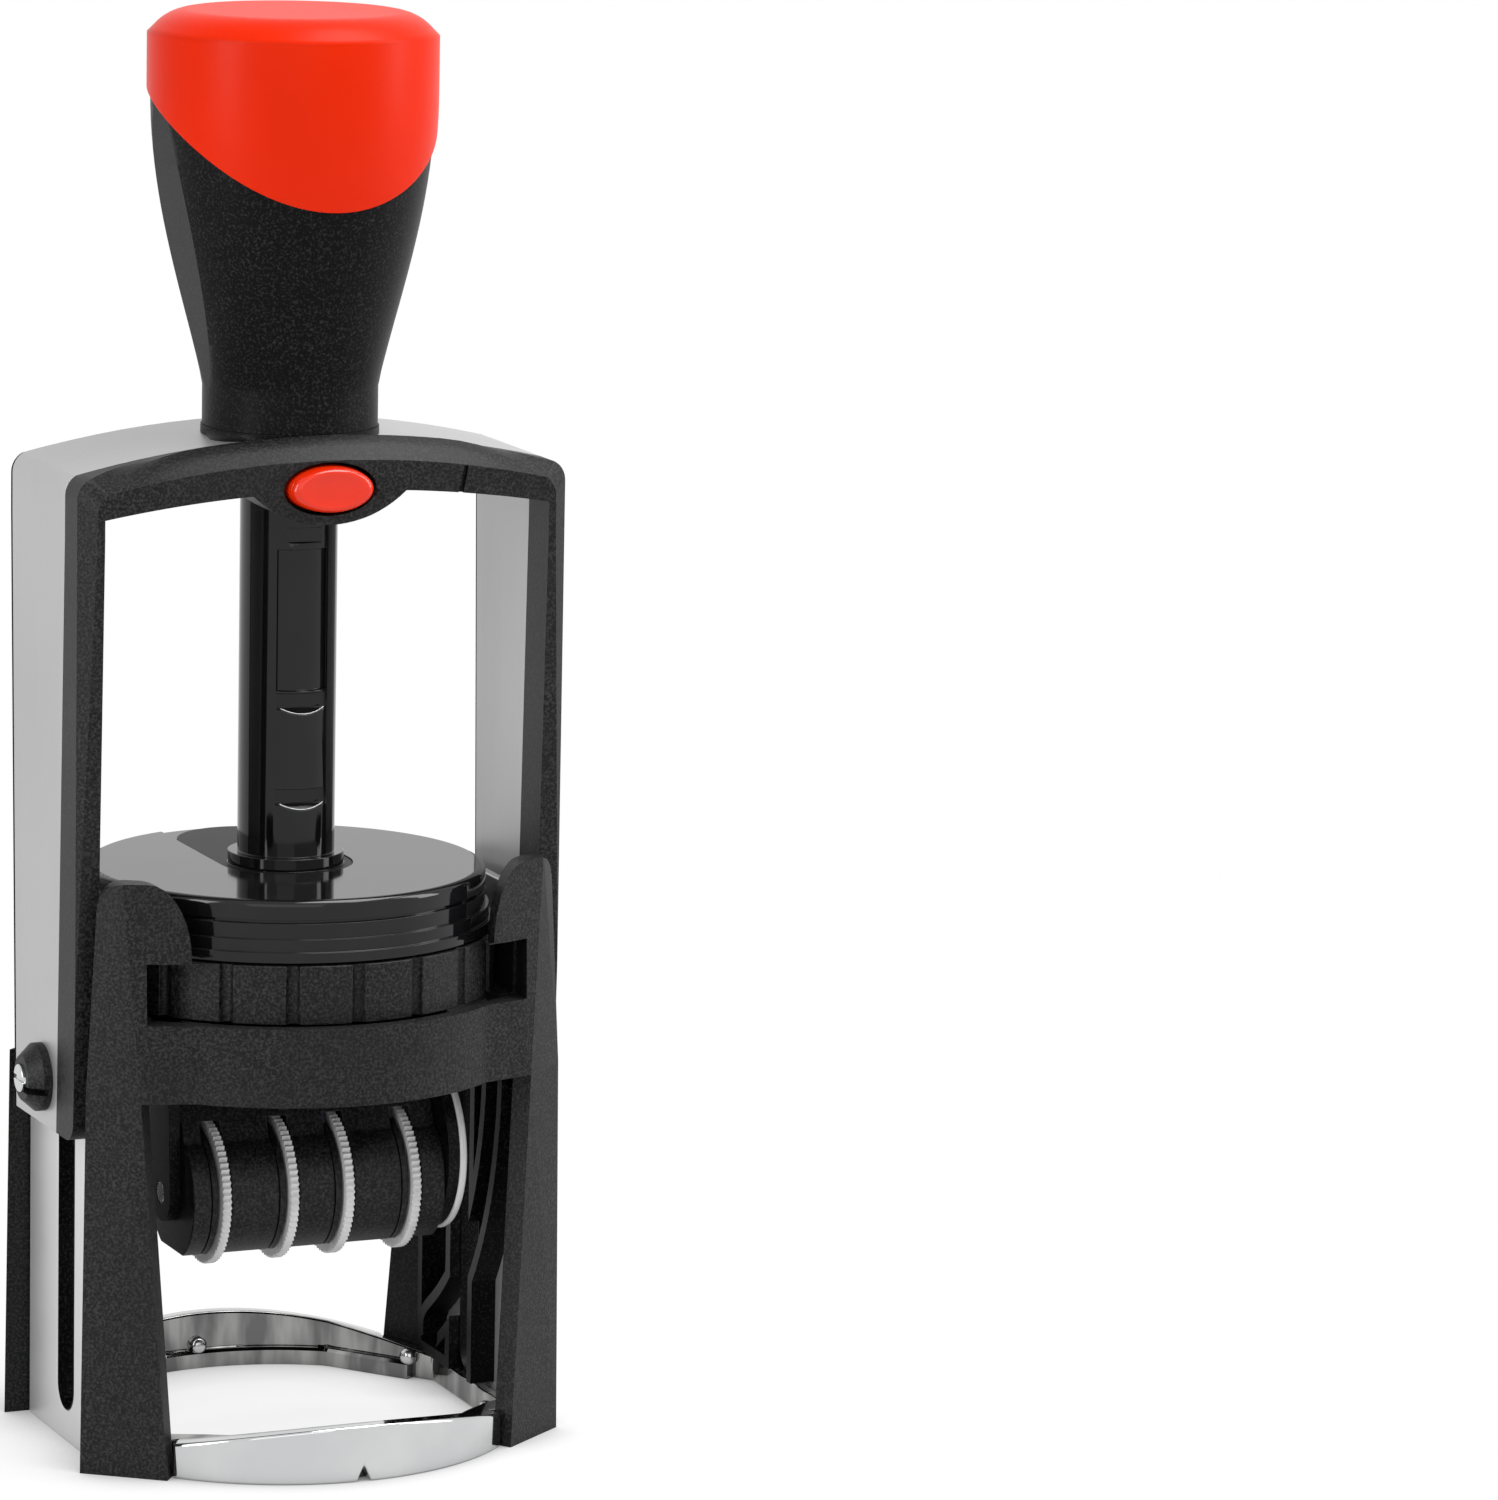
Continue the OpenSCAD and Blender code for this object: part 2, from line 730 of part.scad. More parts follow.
module front_bezel() {
    bevel_y = bezel_front_y + bezel_bevel;
    lobe_drop = 4.3;
    lobe_half = 11;
    lobe_radius = (lobe_half * lobe_half + lobe_drop * lobe_drop) / (2 * lobe_drop);
    slice = 0.02;
    mark_x = 19;
    mark_depth = 0.8;
    color("black") difference() {
        intersection() {
            hull() {
                front_profile(bevel_y, strap_front_y + strap_draw) yoke_outline(0, $fn = 32);
                front_profile(bezel_front_y, bezel_front_y + slice)
                    yoke_outline(bezel_bevel, $fn = 32);
            }
            side_profile(-yoke_x - over, yoke_x + over) bezel_side();
        }
        front_profile(bezel_front_y - over, strap_front_y + strap_draw + over) difference() {
            bezel_opening();
            translate([0, beam_z - lobe_drop + lobe_radius]) circle(r = lobe_radius, $fn = 128);
        }
        front_profile(bezel_front_y - over, bezel_front_y + mark_depth)
            polygon([for (p = [[-0.7, -over], [0.1, -over], [1, 3], [0.4, 3]]) [mark_x, beam_z] + p]);
        front_profile(bezel_front_y - over, button_back_y + button_travel + gap) button_outline(gap);
        front_profile(bezel_front_y, through) translate([0, button_z])
            square([2 * (tongue_x + gap), lock_bay_h], center = true);
        translate([0, 0, beam_z - 2 * lobe_drop]) cylinder(r = bush_r + seat, h = through);
    }
}

// Side view of the front bezel, with rounded lower ends
module bezel_side() {
    foot_y = bezel_front_y + 2.8;
    end_r = 3;
    rear = strap_front_y;
    polygon(concat(
        [for (a = [270 : -10 : 180]) [foot_y, yoke_foot_z] + end_r * [1 + cos(a), 1 + sin(a)]],
        [[bezel_front_y, draw_z], [bezel_front_y, through], [rear, through], [rear, draw_z],
         [rear + strap_draw, yoke_foot_z]]
    ));
}

module rear_bezel() {
    color("black") intersection() {
        front_profile(strap_rear_y - strap_draw, strap_rear_y + rear_bezel_t) difference() {
            yoke_outline(0.4);
            bezel_opening();
        }
        side_profile(-yoke_x, yoke_x) polygon([
            [strap_rear_y - strap_draw, yoke_foot_z], [strap_rear_y, draw_z], [strap_rear_y, through],
            [strap_rear_y + rear_bezel_t, through], [strap_rear_y + rear_bezel_t, draw_z],
            [strap_rear_y + rear_bezel_t - strap_draw, yoke_foot_z]
        ]);
    }
}

module collar() {
    color("black") difference() {
        translate([0, 0, yoke_top_z - 1]) cylinder(r = neck_r + 0.2, h = grip_z - yoke_top_z + 1);
        translate([0, 0, -over]) cylinder(r = bush_r + seat, h = through);
        front_profile(-through, through) yoke_outline(0);
    }
}

module guide_bush() {
    bush_z = beam_z - 1.6;
    color("dimgray") difference() {
        union() {
            translate([0, 0, bush_z]) cylinder(r = bush_r, h = bush_top_z - bush_z);
            translate([0, 0, grip_z]) cylinder(r = cavity_r, h = bush_top_z - grip_z);
        }
        translate([0, 0, -over]) cylinder(r = column_r + running_fit, h = through);
        front_profile(-through, 0) translate([0, button_z]) difference() {
            square([2 * (tongue_x + gap), tongue_h + 2 * gap], center = true);
            square([2 * (prong_x - gap), tongue_h + over], center = true);
        }
        front_profile(-through, lock_seat_y) translate([0, button_z])
            square([2 * (lock_spring_r + 1), 2 * (lock_spring_r + 1)], center = true);
    }
}

module handle_grip() {
    steps = 20;
    top = cap_top_z - 2 * cap_t;
    rise = (crown_z - flare_z) / steps;
    color("black") intersection() {
        difference() {
            rotate_extrude($fn = 96) polygon(concat(
                [[cavity_r + seat, grip_z], [neck_r, grip_z]],
                [for (i = [0 : steps]) [flare(flare_z + i * rise), flare_z + i * rise]],
                [[crown_r, top - 3], [cap_flat_r, top], [0, top], [0, cavity_top_z],
                 [cavity_r + seat, cavity_top_z]]
            ));
            cap_zone();
        }
        front_profile(-through, through) grip_front();
    }
}

// Front view of the grip, flat along both sides below the cap
module grip_front() {
    steps = 20;
    top = crown_z;
    rise = (top - flare_z) / steps;
    wall = [for (i = [0 : steps])
        [flare(flare_z + i * rise) - side_flat * sin(180 * i / steps), flare_z + i * rise]];
    right = concat([[neck_r + over, grip_z - over], [neck_r + over, flare_z - 2]], wall,
        [[crown_r + over, cap_top_z]]);
    polygon(concat(right, [for (i = [len(right) - 1 : -1 : 0]) [-right[i][0], right[i][1]]]));
}

// Levels of the grip's flare that the cap covers
cap_steps = 12;
cap_low_z = lobe_z - 3;
cap_levels = [for (i = [0 : cap_steps]) cap_low_z + i * (crown_z - cap_low_z) / cap_steps];

// Inside of the cap, from its lower edge to the middle of its roof, drawn in by a clearance
function cap_inside(clear) = concat(
    [for (z = cap_levels) [flare(z) - cap_t + cap_proud - clear, z]],
    [[cap_rim_r - cap_t, cap_top_z - 3 - cap_t], [cap_flat_r - 0.6, cap_top_z - cap_t], [0, cap_top_z - cap_t]]
);

// Space that the cap takes from the grip: all that lies outside the cap's inside and above its lower edge
module cap_zone() {
    inside = cap_inside(0);
    difference() {
        lobe_cut(0);
        rotate_extrude($fn = 96)
            polygon(concat([[0, cap_low_z - over], [inside[0][0], cap_low_z - over]], inside));
    }
}

// Space above the cap's lower edge, which droops at the front
module lobe_cut(rise) {
    middle_z = lobe_z + crown_r * tan(lobe_tilt) + lobe_r / cos(lobe_tilt) + rise;
    translate([0, 0, middle_z]) rotate([90 + lobe_tilt, 0, 0])
        cylinder(r = lobe_r, h = through, center = true, $fn = 180);
}

module handle_cap() {
    edge_r = 0.8;
    inside = cap_inside(-seat);
    seam_turn = 11;
    color("red") intersection() {
        rotate(seam_turn) rotate_extrude($fn = 96) polygon(concat(
            [for (z = cap_levels) [flare(z) + cap_proud, z]],
            [[cap_rim_r, cap_top_z - 3.2], [cap_rim_r - edge_r, cap_top_z - 2.4],
             [cap_flat_r, cap_top_z], [0, cap_top_z]],
            [for (i = [len(inside) - 1 : -1 : 0]) inside[i]]
        ));
        lobe_cut(seat);
    }
}

module return_spring() {
    low = cover_top_z + 2;
    color("gray") translate([0, 0, low + seat])
        coil(spring_r, spring_wire, cavity_top_z - low - 2 * seat, spring_turns);
}

module lock_button() {
    dome = 0.9;
    face_y = bezel_front_y - button_proud;
    color("red") difference() {
        union() {
            front_profile(face_y + dome, button_back_y) button_outline(0);
            front_profile(face_y, button_back_y) button_outline(-dome);
            front_profile(face_y + over, tongue_y) translate([0, button_z]) difference() {
                square([2 * tongue_x, tongue_h], center = true);
                square([2 * prong_x, tongue_h + over], center = true);
            }
        }
    }
}

module lock_spring() {
    color("silver") translate([0, lock_seat_y - seat, button_z]) rotate([90, 0, 0])
        coil(lock_spring_r, lock_spring_wire, lock_seat_y - button_back_y - 2 * seat, lock_spring_turns);
}

// Steel pin from the yoke's leg into the carrier
module axle_pin() {
    color("silver") cross_rod(pin_r, -yoke_x, -drum_x - 2.4, 0, axis_z);
}

// Domed knob on the pin's outer end, split on its front side
module axle_knob() {
    color("black") difference() {
        translate([-yoke_x, 0, axis_z]) rotate([0, -90, 0]) union() {
            cylinder(r = knob_r, h = knob_t * 0.4);
            translate([0, 0, knob_t * 0.4]) cylinder(r1 = knob_r, r2 = knob_r - 1.6, h = knob_t * 0.6);
        }
        translate([-yoke_x - knob_t - over, -knob_r - over, axis_z - 1.3 - 0.5])
            cube([knob_t + over - 0.4, knob_r, 1]);
        cross_rod(screw_r + seat, -yoke_x - knob_t - over, -yoke_x - knob_t + 1, 0, axis_z);
    }
}

// Pan head screw in the knob
module axle_screw() {
    color("silver") difference() {
        cross_rod(screw_r, -yoke_x - knob_t - 0.5, -yoke_x - knob_t + 1, 0, axis_z);
        translate([-yoke_x - knob_t - over, -screw_r - over, axis_z - 0.3])
            cube([over - 0.1, 2 * screw_r + 2 * over, 0.6]);
    }
}

// End wall of the carrier with the bearing for the axle pin and the guide pin's arm
module carrier_end() {
    end_foot_r = 4;
    end_head_y = 9;
    side_profile(-end_x - end_t, -end_x) {
        translate([wheel_y, wheel_z]) circle(r = end_foot_r);
        polygon([
            [wheel_y - end_foot_r, wheel_z], [-end_head_y, plate_z],
            [end_head_y, plate_z], [wheel_y + end_foot_r, wheel_z]
        ]);
    }
    cross_rod(hub_boss_r, -arm_x - arm_t, -end_x, 0, axis_z);
    side_profile(-arm_x - arm_t, -arm_x) {
        translate([-guide_arm, axis_z - guide_r - 1]) square([guide_arm, 2 * guide_r + 2]);
        translate([-guide_arm, axis_z]) circle(r = guide_r + 1);
    }
    cross_rod(guide_r, -plate_in_x + 0.6, -arm_x, -guide_arm, axis_z);
}

// Slot across the die that the date bands print through
module date_window(room) {
    square([2 * bridge_x + 2 * seat, 2 * (nose_r + band_t + room)], center = true);
}

module carrier_frame() {
    slack = 2.1;
    color("black") difference() {
        union() {
            both_sides() carrier_end();
            cross_rod(disc_r - disc_rim, end_x, end_x + end_t, disc_y, disc_z);
            translate([0, 0, plate_z]) cylinder(r = ring_r, h = carrier_t, $fn = 96);
            translate([0, 0, plate_z]) cylinder(r = text_r, h = ring_z + ring_t - plate_z);
        }
        translate([0, 0, plate_z - over]) linear_extrude(through) date_window(slack);
        both_sides() {
            cross_rod(pin_r + running_fit, -arm_x - arm_t - over, -end_x + over, 0, axis_z);
            cross_rod(axle_r + seat, -end_x - end_t - over, -end_x + over, wheel_y, wheel_z);
        }
    }
}

module drum_cover() {
    hood_wall = 0.9;
    hood_room = 0.3;
    cavity_x = drum_x - drum_wall;
    color("black") difference() {
        union() {
            cross_rod(drum_r, -drum_x, drum_x, wheel_y, wheel_z);
            side_profile(-drum_x, drum_x) band_loop(band_t + hood_room + hood_wall);
        }
        cross_rod(drum_r - drum_wall, -cavity_x, cavity_x, wheel_y, wheel_z);
        side_profile(-cavity_x, cavity_x) band_loop(band_t + hood_room);
        translate([-through / 2, -through / 2, drum_foot_z - through]) cube(through);
        translate([-through / 2, -through / 2, plate_z - seat]) cube(through);
        for (x = wheel_places) {
            cross_rod(wheel_r + 0.6, x - wheel_t / 2 - slot_side, x + wheel_t / 2 + slot_room,
                wheel_y, wheel_z);
        }
        cross_rod(axle_r + seat, -drum_x - over, drum_x + over, wheel_y, wheel_z);
    }
}

// Pale disc on the outside of the carrier's right end wall, drawn on the left
module end_disc() {
    color("lightgray") difference() {
        cross_rod(disc_r, -disc_x - disc_t, -disc_x, disc_y, disc_z);
        cross_rod(hub_boss_r + seat, -disc_x - disc_t - over, -disc_x + over, 0, axis_z);
        cross_rod(axle_r + seat, -through, -end_x, wheel_y, wheel_z);
    }
}

module wheel_axle() {
    color("silver") cross_rod(axle_r, -end_x - end_t, disc_x, wheel_y, wheel_z);
}

// Toothed date wheel with the hub that drives its band
module date_wheel(i) {
    x = wheel_places[i];
    root_r = wheel_r - 0.5;
    side = hub_sides[i];
    near = x + side * wheel_t / 2;
    far = near + side * hub_widths[i];
    step = 360 / tooth_count;
    color("darkgray") difference() {
        union() {
            side_profile(x - wheel_t / 2, x + wheel_t / 2) translate([wheel_y, wheel_z]) polygon([
                for (k = [0 : tooth_count - 1], p = [[0, root_r], [0.5, wheel_r]])
                    p[1] * [cos((k + p[0]) * step), sin((k + p[0]) * step)]
            ]);
            cross_rod(hub_r, min(near, far), max(near, far), wheel_y, wheel_z);
        }
        cross_rod(axle_r + running_fit, x - wheel_r, x + wheel_r, wheel_y, wheel_z);
    }
}

// Outline of a date band round its hub and over the printing nose
module band_loop(grow) {
    hull() {
        translate([wheel_y, wheel_z]) circle(r = hub_r + gap + grow, $fn = 32);
        translate([0, nose_z]) circle(r = nose_r + grow, $fn = 32);
    }
}

module date_bands() {
    room = 0.15;
    color("dimgray") intersection() {
        side_profile(-drum_x, drum_x) difference() {
            band_loop(band_t);
            band_loop(0.1);
        }
        for (i = [0 : 3]) {
            near = wheel_places[i] + hub_sides[i] * wheel_t / 2;
            far = near + hub_sides[i] * hub_widths[i];
            low = min(near, far) + room + max(0, hub_sides[i]) * slot_room;
            high = max(near, far) - room - max(0, -hub_sides[i]) * slot_room;
            translate([low, -through / 2, 0]) cube([high - low, through, through]);
        }
    }
}

// Bar that the bands run over, with its feet in the ends of the carrier's slot
module band_bridge() {
    foot_t = 1;
    foot_drop = 2;
    foot_rear_y = 0.5;
    color("silver") {
        cross_rod(nose_r, -bridge_x, bridge_x, 0, nose_z);
        for (x = [-bridge_x, bridge_x - foot_t]) {
            translate([x, -nose_r, plate_z - foot_drop])
                cube([foot_t, nose_r + foot_rear_y, nose_z - plate_z + foot_drop]);
        }
    }
}

module text_die() {
    color("dimgray") translate([0, 0, ring_z + ring_t]) linear_extrude(rubber_t) difference() {
        circle(r = text_r);
        date_window(0.5);
    }
}

module time_ring() {
    color("gray") translate([0, 0, ring_z]) linear_extrude(ring_t) difference() {
        circle(r = ring_r, $fn = 96);
        circle(r = ring_in_r, $fn = 96);
    }
}

module time_dial() {
    color("dimgray") translate([0, 0, ring_z + ring_t]) linear_extrude(rubber_t) difference() {
        circle(r = ring_r - 0.9, $fn = 96);
        circle(r = ring_in_r + 0.9, $fn = 96);
    }
}

foot_ring();
side_plate();  // left_side_plate
mirror([1, 0, 0]) side_plate();  // right_side_plate
guide_cheek();  // left_guide_cheek
mirror([1, 0, 0]) guide_cheek();  // right_guide_cheek
base_frame();
pad_cover();
column();
column_stop();
pad_cassette();
ink_pad();
yoke_band();
front_bezel();
rear_bezel();
collar();
guide_bush();
handle_grip();
handle_cap();
return_spring();
lock_button();
lock_spring();
axle_pin();  // left_axle_pin
mirror([1, 0, 0]) axle_pin();  // right_axle_pin
axle_knob();  // left_axle_knob
mirror([1, 0, 0]) axle_knob();  // right_axle_knob
axle_screw();  // left_axle_screw
mirror([1, 0, 0]) axle_screw();  // right_axle_screw
carrier_frame();
drum_cover();
mirror([1, 0, 0]) end_disc();
wheel_axle();
date_wheel(0);  // date_wheel_1
date_wheel(1);  // date_wheel_2
date_wheel(2);  // date_wheel_3
date_wheel(3);  // date_wheel_4
date_bands();
band_bridge();
text_die();
time_ring();
time_dial();
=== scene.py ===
import json
import math

import bmesh
import bpy
from bpy.props import FloatProperty, FloatVectorProperty, PointerProperty
from mathutils import Matrix, Vector
from mathutils.bvhtree import BVHTree


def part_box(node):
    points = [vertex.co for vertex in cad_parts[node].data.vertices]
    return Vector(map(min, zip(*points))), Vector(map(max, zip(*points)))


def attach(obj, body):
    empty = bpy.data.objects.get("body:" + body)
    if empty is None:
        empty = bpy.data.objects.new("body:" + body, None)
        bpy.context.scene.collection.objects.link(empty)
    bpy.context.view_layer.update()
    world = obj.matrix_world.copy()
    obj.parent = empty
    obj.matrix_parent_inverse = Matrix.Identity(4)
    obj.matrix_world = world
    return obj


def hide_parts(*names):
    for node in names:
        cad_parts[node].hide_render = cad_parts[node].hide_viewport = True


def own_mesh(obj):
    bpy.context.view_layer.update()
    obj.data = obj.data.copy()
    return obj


bl_info = {
    "name": "Time stamp dressing",
    "version": (1, 0, 0),
    "blender": (4, 5, 0),
    "location": "3D View > Sidebar > Stamp",
    "description": "Finishes, softened edges and studio for a self-inking time stamp",
    "category": "Object",
}

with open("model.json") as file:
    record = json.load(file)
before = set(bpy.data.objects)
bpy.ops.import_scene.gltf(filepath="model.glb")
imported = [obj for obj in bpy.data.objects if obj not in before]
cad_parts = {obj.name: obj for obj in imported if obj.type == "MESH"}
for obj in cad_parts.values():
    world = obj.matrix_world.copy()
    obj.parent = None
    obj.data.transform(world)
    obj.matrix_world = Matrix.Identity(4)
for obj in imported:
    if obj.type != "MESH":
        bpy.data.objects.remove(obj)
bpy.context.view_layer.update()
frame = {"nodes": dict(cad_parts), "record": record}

MM = 0.001
SIDES = ("left", "right")
WHITE = (1, 1, 1, 1)
UP = Vector((0, 0, 1))

# Points closer than these are merged: in a new piece, and in a copy of a solid
MERGE = 1e-6
SOLID_MERGE = 3e-5
# Faces of a solid that meet at a smaller angle are joined
FLAT = math.radians(0.05)
# Edges of a new piece that turn by more degrees stay sharp
CREASE = 35


class StampColours(bpy.types.PropertyGroup):
    """Colours that a user may change"""

    cap: FloatVectorProperty(
        name="Cap red", description="Colour of the cap and the lock button",
        subtype="COLOR", size=4, min=0, max=1, default=(0.62, 0.017, 0.0003, 1))
    moulding: FloatVectorProperty(
        name="Moulding", description="Colour of the grained black mouldings",
        subtype="COLOR", size=4, min=0, max=1, default=(0.0048, 0.0048, 0.005, 1))
    gloss: FloatVectorProperty(
        name="Gloss black", description="Colour of the polished black column and cover",
        subtype="COLOR", size=4, min=0, max=1, default=(0.004, 0.004, 0.0045, 1))
    plating: FloatVectorProperty(
        name="Plating", description="Colour of the satin plated yoke",
        subtype="COLOR", size=4, min=0, max=1, default=(0.44, 0.44, 0.44, 1))
    wheel: FloatVectorProperty(
        name="Wheels", description="Colour of the date wheels",
        subtype="COLOR", size=4, min=0, max=1, default=(0.55, 0.55, 0.55, 1))


class StampSizes(bpy.types.PropertyGroup):
    """Sizes that a user may change"""

    soft_edge: FloatProperty(
        name="Soft edge", description="Radius on the edges of the mouldings",
        subtype="DISTANCE", unit="LENGTH", min=0, max=0.002, default=0.5 * MM)
    crisp_edge: FloatProperty(
        name="Crisp edge", description="Radius on the edges of metal and small pieces",
        subtype="DISTANCE", unit="LENGTH", min=0, max=0.001, default=0.2 * MM)
    grain: FloatProperty(
        name="Grain", description="Depth of the grain on the mouldings",
        subtype="DISTANCE", unit="LENGTH", min=0, max=0.0002, default=0.03 * MM)


def colours():
    """The colours as they stand in the scene."""
    return bpy.context.scene.stamp_colours


def sizes():
    """The sizes as they stand in the scene."""
    return bpy.context.scene.stamp_sizes


class Tap:
    """One output of a shader node, with the maths that the finishes use."""

    def __init__(self, nodes, socket):
        self.nodes = nodes
        self.socket = socket

    def maths(self, operation, first, second):
        """The output of a Math node."""
        return self.nodes.add("ShaderNodeMath", {"operation": operation}, {0: first, 1: second})

    def __add__(self, other):
        return self.maths("ADD", self, other)

    def __radd__(self, other):
        return self.maths("ADD", other, self)

    def __mul__(self, other):
        return self.maths("MULTIPLY", self, other)

    def __rmul__(self, other):
        return self.maths("MULTIPLY", other, self)

    def clamped(self):
        """The value held between 0 and 1."""
        return self.nodes.add("ShaderNodeClamp", {}, {"Value": self})


class Nodes:
    """A node tree that is built up node by node."""

    def __init__(self, tree):
        self.tree = tree
        tree.nodes.clear()

    def feed(self, node, name, value):
        """Link a tap to a node's socket, or set the socket's value."""
        if isinstance(value, Tap):
            self.tree.links.new(value.socket, node.inputs[name])
        else:
            node.inputs[name].default_value = value

    def add(self, kind, settings=None, inputs=None, out=0):
        """Add a node, with its settings first and its sockets next, and give one output."""
        node = self.tree.nodes.new(kind)
        for name, value in (settings or {}).items():
            setattr(node, name, value)
        for name, value in (inputs or {}).items():
            self.feed(node, name, value)
        return Tap(self, node.outputs[out])

    def seen(self):
        """1 for a ray of the camera, a reflection or glass, and 0 for one that brings light."""
        camera, glossy, transmission = (
            self.add("ShaderNodeLightPath", out=f"Is {ray} Ray")
            for ray in ("Camera", "Glossy", "Transmission"))
        return (camera + glossy + transmission).clamped()


class Finish(Nodes):
    """A material that is built up node by node."""

    def __init__(self, name):
        self.material = bpy.data.materials.new(name)
        self.material.use_nodes = True
        super().__init__(self.material.node_tree)
        self.shader = self.tree.nodes.new("ShaderNodeBsdfPrincipled")
        self.surface = Tap(self, self.shader.outputs[0])
        self.out = self.tree.nodes.new("ShaderNodeOutputMaterial")
        self.feed(self.out, "Surface", self.surface)

    def place(self):
        """The place on the object."""
        return self.add("ShaderNodeTexCoord", out="Object")

    def reach(self, shares=(1, 1, 1)):
        """The distance from the origin, with each axis taken by its share."""
        way = self.add("ShaderNodeVectorMath", {"operation": "MULTIPLY"},
                       {0: self.place(), 1: shares})
        return self.add("ShaderNodeVectorMath", {"operation": "LENGTH"}, {0: way}, "Value")

    def noise(self, scale, detail=2.0, stretch=(1, 1, 1)):
        """Noise with so many grains to the metre, stretched along an axis with a small share."""
        where = self.add("ShaderNodeMapping", {}, {"Vector": self.place(), "Scale": stretch})
        return self.add("ShaderNodeTexNoise", {},
                        {"Vector": where, "Scale": scale, "Detail": detail})

    def ramp(self, value, low, high):
        """0 below the low value, 1 above the high one, and straight between them."""
        return self.add("ShaderNodeMapRange", {},
                        {"Value": value, "From Min": low, "From Max": high})

    def mix(self, factor, first, second):
        """A colour between two others."""
        factor_socket, first_socket, second_socket, colour_out = 0, 6, 7, 2
        return self.add("ShaderNodeMix", {"data_type": "RGBA"},
                        {factor_socket: factor, first_socket: first, second_socket: second},
                        colour_out)

    def bump(self, height, depth, strength):
        """The normal of a surface whose relief is so deep."""
        return self.add("ShaderNodeBump", {},
                        {"Height": height, "Distance": depth, "Strength": strength})

    def set(self, **values):
        """Feed the shader's sockets and give the material."""
        for name, value in values.items():
            self.feed(self.shader, name.replace("_", " "), value)
        return self.material


def shade(colour, amount):
    """The colour made lighter or darker by a factor."""
    return (*[min(1.0, c * amount) for c in colour[:3]], 1)


def grey(level):
    """A grey of a level from 0 to 1."""
    return (level, level, level, 1)


def moulded_black():
    """Black moulding with a fine spark-eroded grain."""
    f = Finish("moulded_black")
    grain = f.noise(scale=2800)
    patch = f.noise(scale=70)
    base = tuple(colours().moulding)
    tone = f.mix(f.ramp(grain, 0.42, 0.7), shade(base, 0.05), shade(base, 5.5))
    tone = f.mix(f.ramp(patch, 0.4, 0.8) * 0.4, tone, shade(base, 1.6))
    rough = 0.38 + 0.14 * grain + 0.05 * patch
    return f.set(Base_Color=tone, Roughness=rough, Specular_IOR_Level=0.2,
                 Normal=f.bump(grain, depth=sizes().grain, strength=0.9))


def smooth_black():
    """Black moulding with a satin skin, as on the grip."""
    f = Finish("smooth_black")
    grain = f.noise(scale=2800)
    patch = f.noise(scale=55)
    base = tuple(colours().moulding)
    tone = f.mix(f.ramp(grain, 0.5, 0.76), shade(base, 0.05), shade(base, 5))
    tone = f.mix(f.ramp(patch, 0.3, 0.8) * 0.3, tone, shade(base, 0.5))
    rough = 0.36 + 0.08 * grain + 0.05 * patch
    return f.set(Base_Color=tone, Roughness=rough, Specular_IOR_Level=0.1,
                 Normal=f.bump(grain, depth=0.6 * sizes().grain, strength=0.7))


def matt_black():
    """Dull black moulding of the rear bezel."""
    f = Finish("matt_black")
    grain = f.noise(scale=2600)
    base = tuple(colours().moulding)
    tone = f.mix(f.ramp(grain, 0.42, 0.72), shade(base, 0.1), shade(base, 3))
    rough = 0.7 + 0.1 * grain
    return f.set(Base_Color=tone, Roughness=rough, Specular_IOR_Level=0.02,
                 Normal=f.bump(grain, depth=sizes().grain, strength=0.6))


def polished_black():
    """Glossy black plastic with faint handling marks."""
    f = Finish("polished_black")
    smudge = f.noise(scale=120, detail=4)
    hair = f.noise(scale=900, stretch=(1, 1, 0.05))
    base = tuple(colours().gloss)
    tone = f.mix(f.ramp(smudge, 0.45, 0.8), base, shade(base, 1.8))
    rough = 0.05 + 0.07 * f.ramp(smudge, 0.4, 0.75) + 0.03 * hair
    return f.set(Base_Color=tone, Roughness=rough, Specular_IOR_Level=0.3,
                 Coat_Weight=0.05, Coat_Roughness=0.04,
                 Normal=f.bump(smudge, depth=0.012 * MM, strength=0.35))


def satin_plating():
    """Satin plated strip with a faint upright brushing."""
    f = Finish("satin_plating")
    brush = f.noise(scale=1400, detail=3, stretch=(1, 1, 0.03))
    patch = f.noise(scale=26)
    base = tuple(colours().plating)
    tone = f.mix(f.ramp(patch, 0.3, 0.75), shade(base, 0.94), shade(base, 1.05))
    rough = 0.34 + 0.09 * brush + 0.05 * patch
    return f.set(Base_Color=tone, Roughness=rough, Metallic=0.75,
                 Normal=f.bump(brush, depth=0.006 * MM, strength=0.4))


def plain_plating():
    """Plating of the side plates, the yoke's plating painted lighter to stand in for light on them:
    painted light.
    """
    f = Finish("plain_plating")
    brush = f.noise(scale=1200, detail=3, stretch=(1, 0.03, 1))
    patch = f.noise(scale=30)
    base = tuple(colours().plating)
    # The plating colour is raised 1.3 to 1.42 times here: painted light on the side plates, which
    # share the yoke's plating.
    tone = f.mix(f.ramp(patch, 0.3, 0.75), shade(base, 1.3), shade(base, 1.42))
    rough = 0.3 + 0.08 * brush + 0.05 * patch
    return f.set(Base_Color=tone, Roughness=rough, Metallic=0.6,
                 Normal=f.bump(brush, depth=0.005 * MM, strength=0.4))


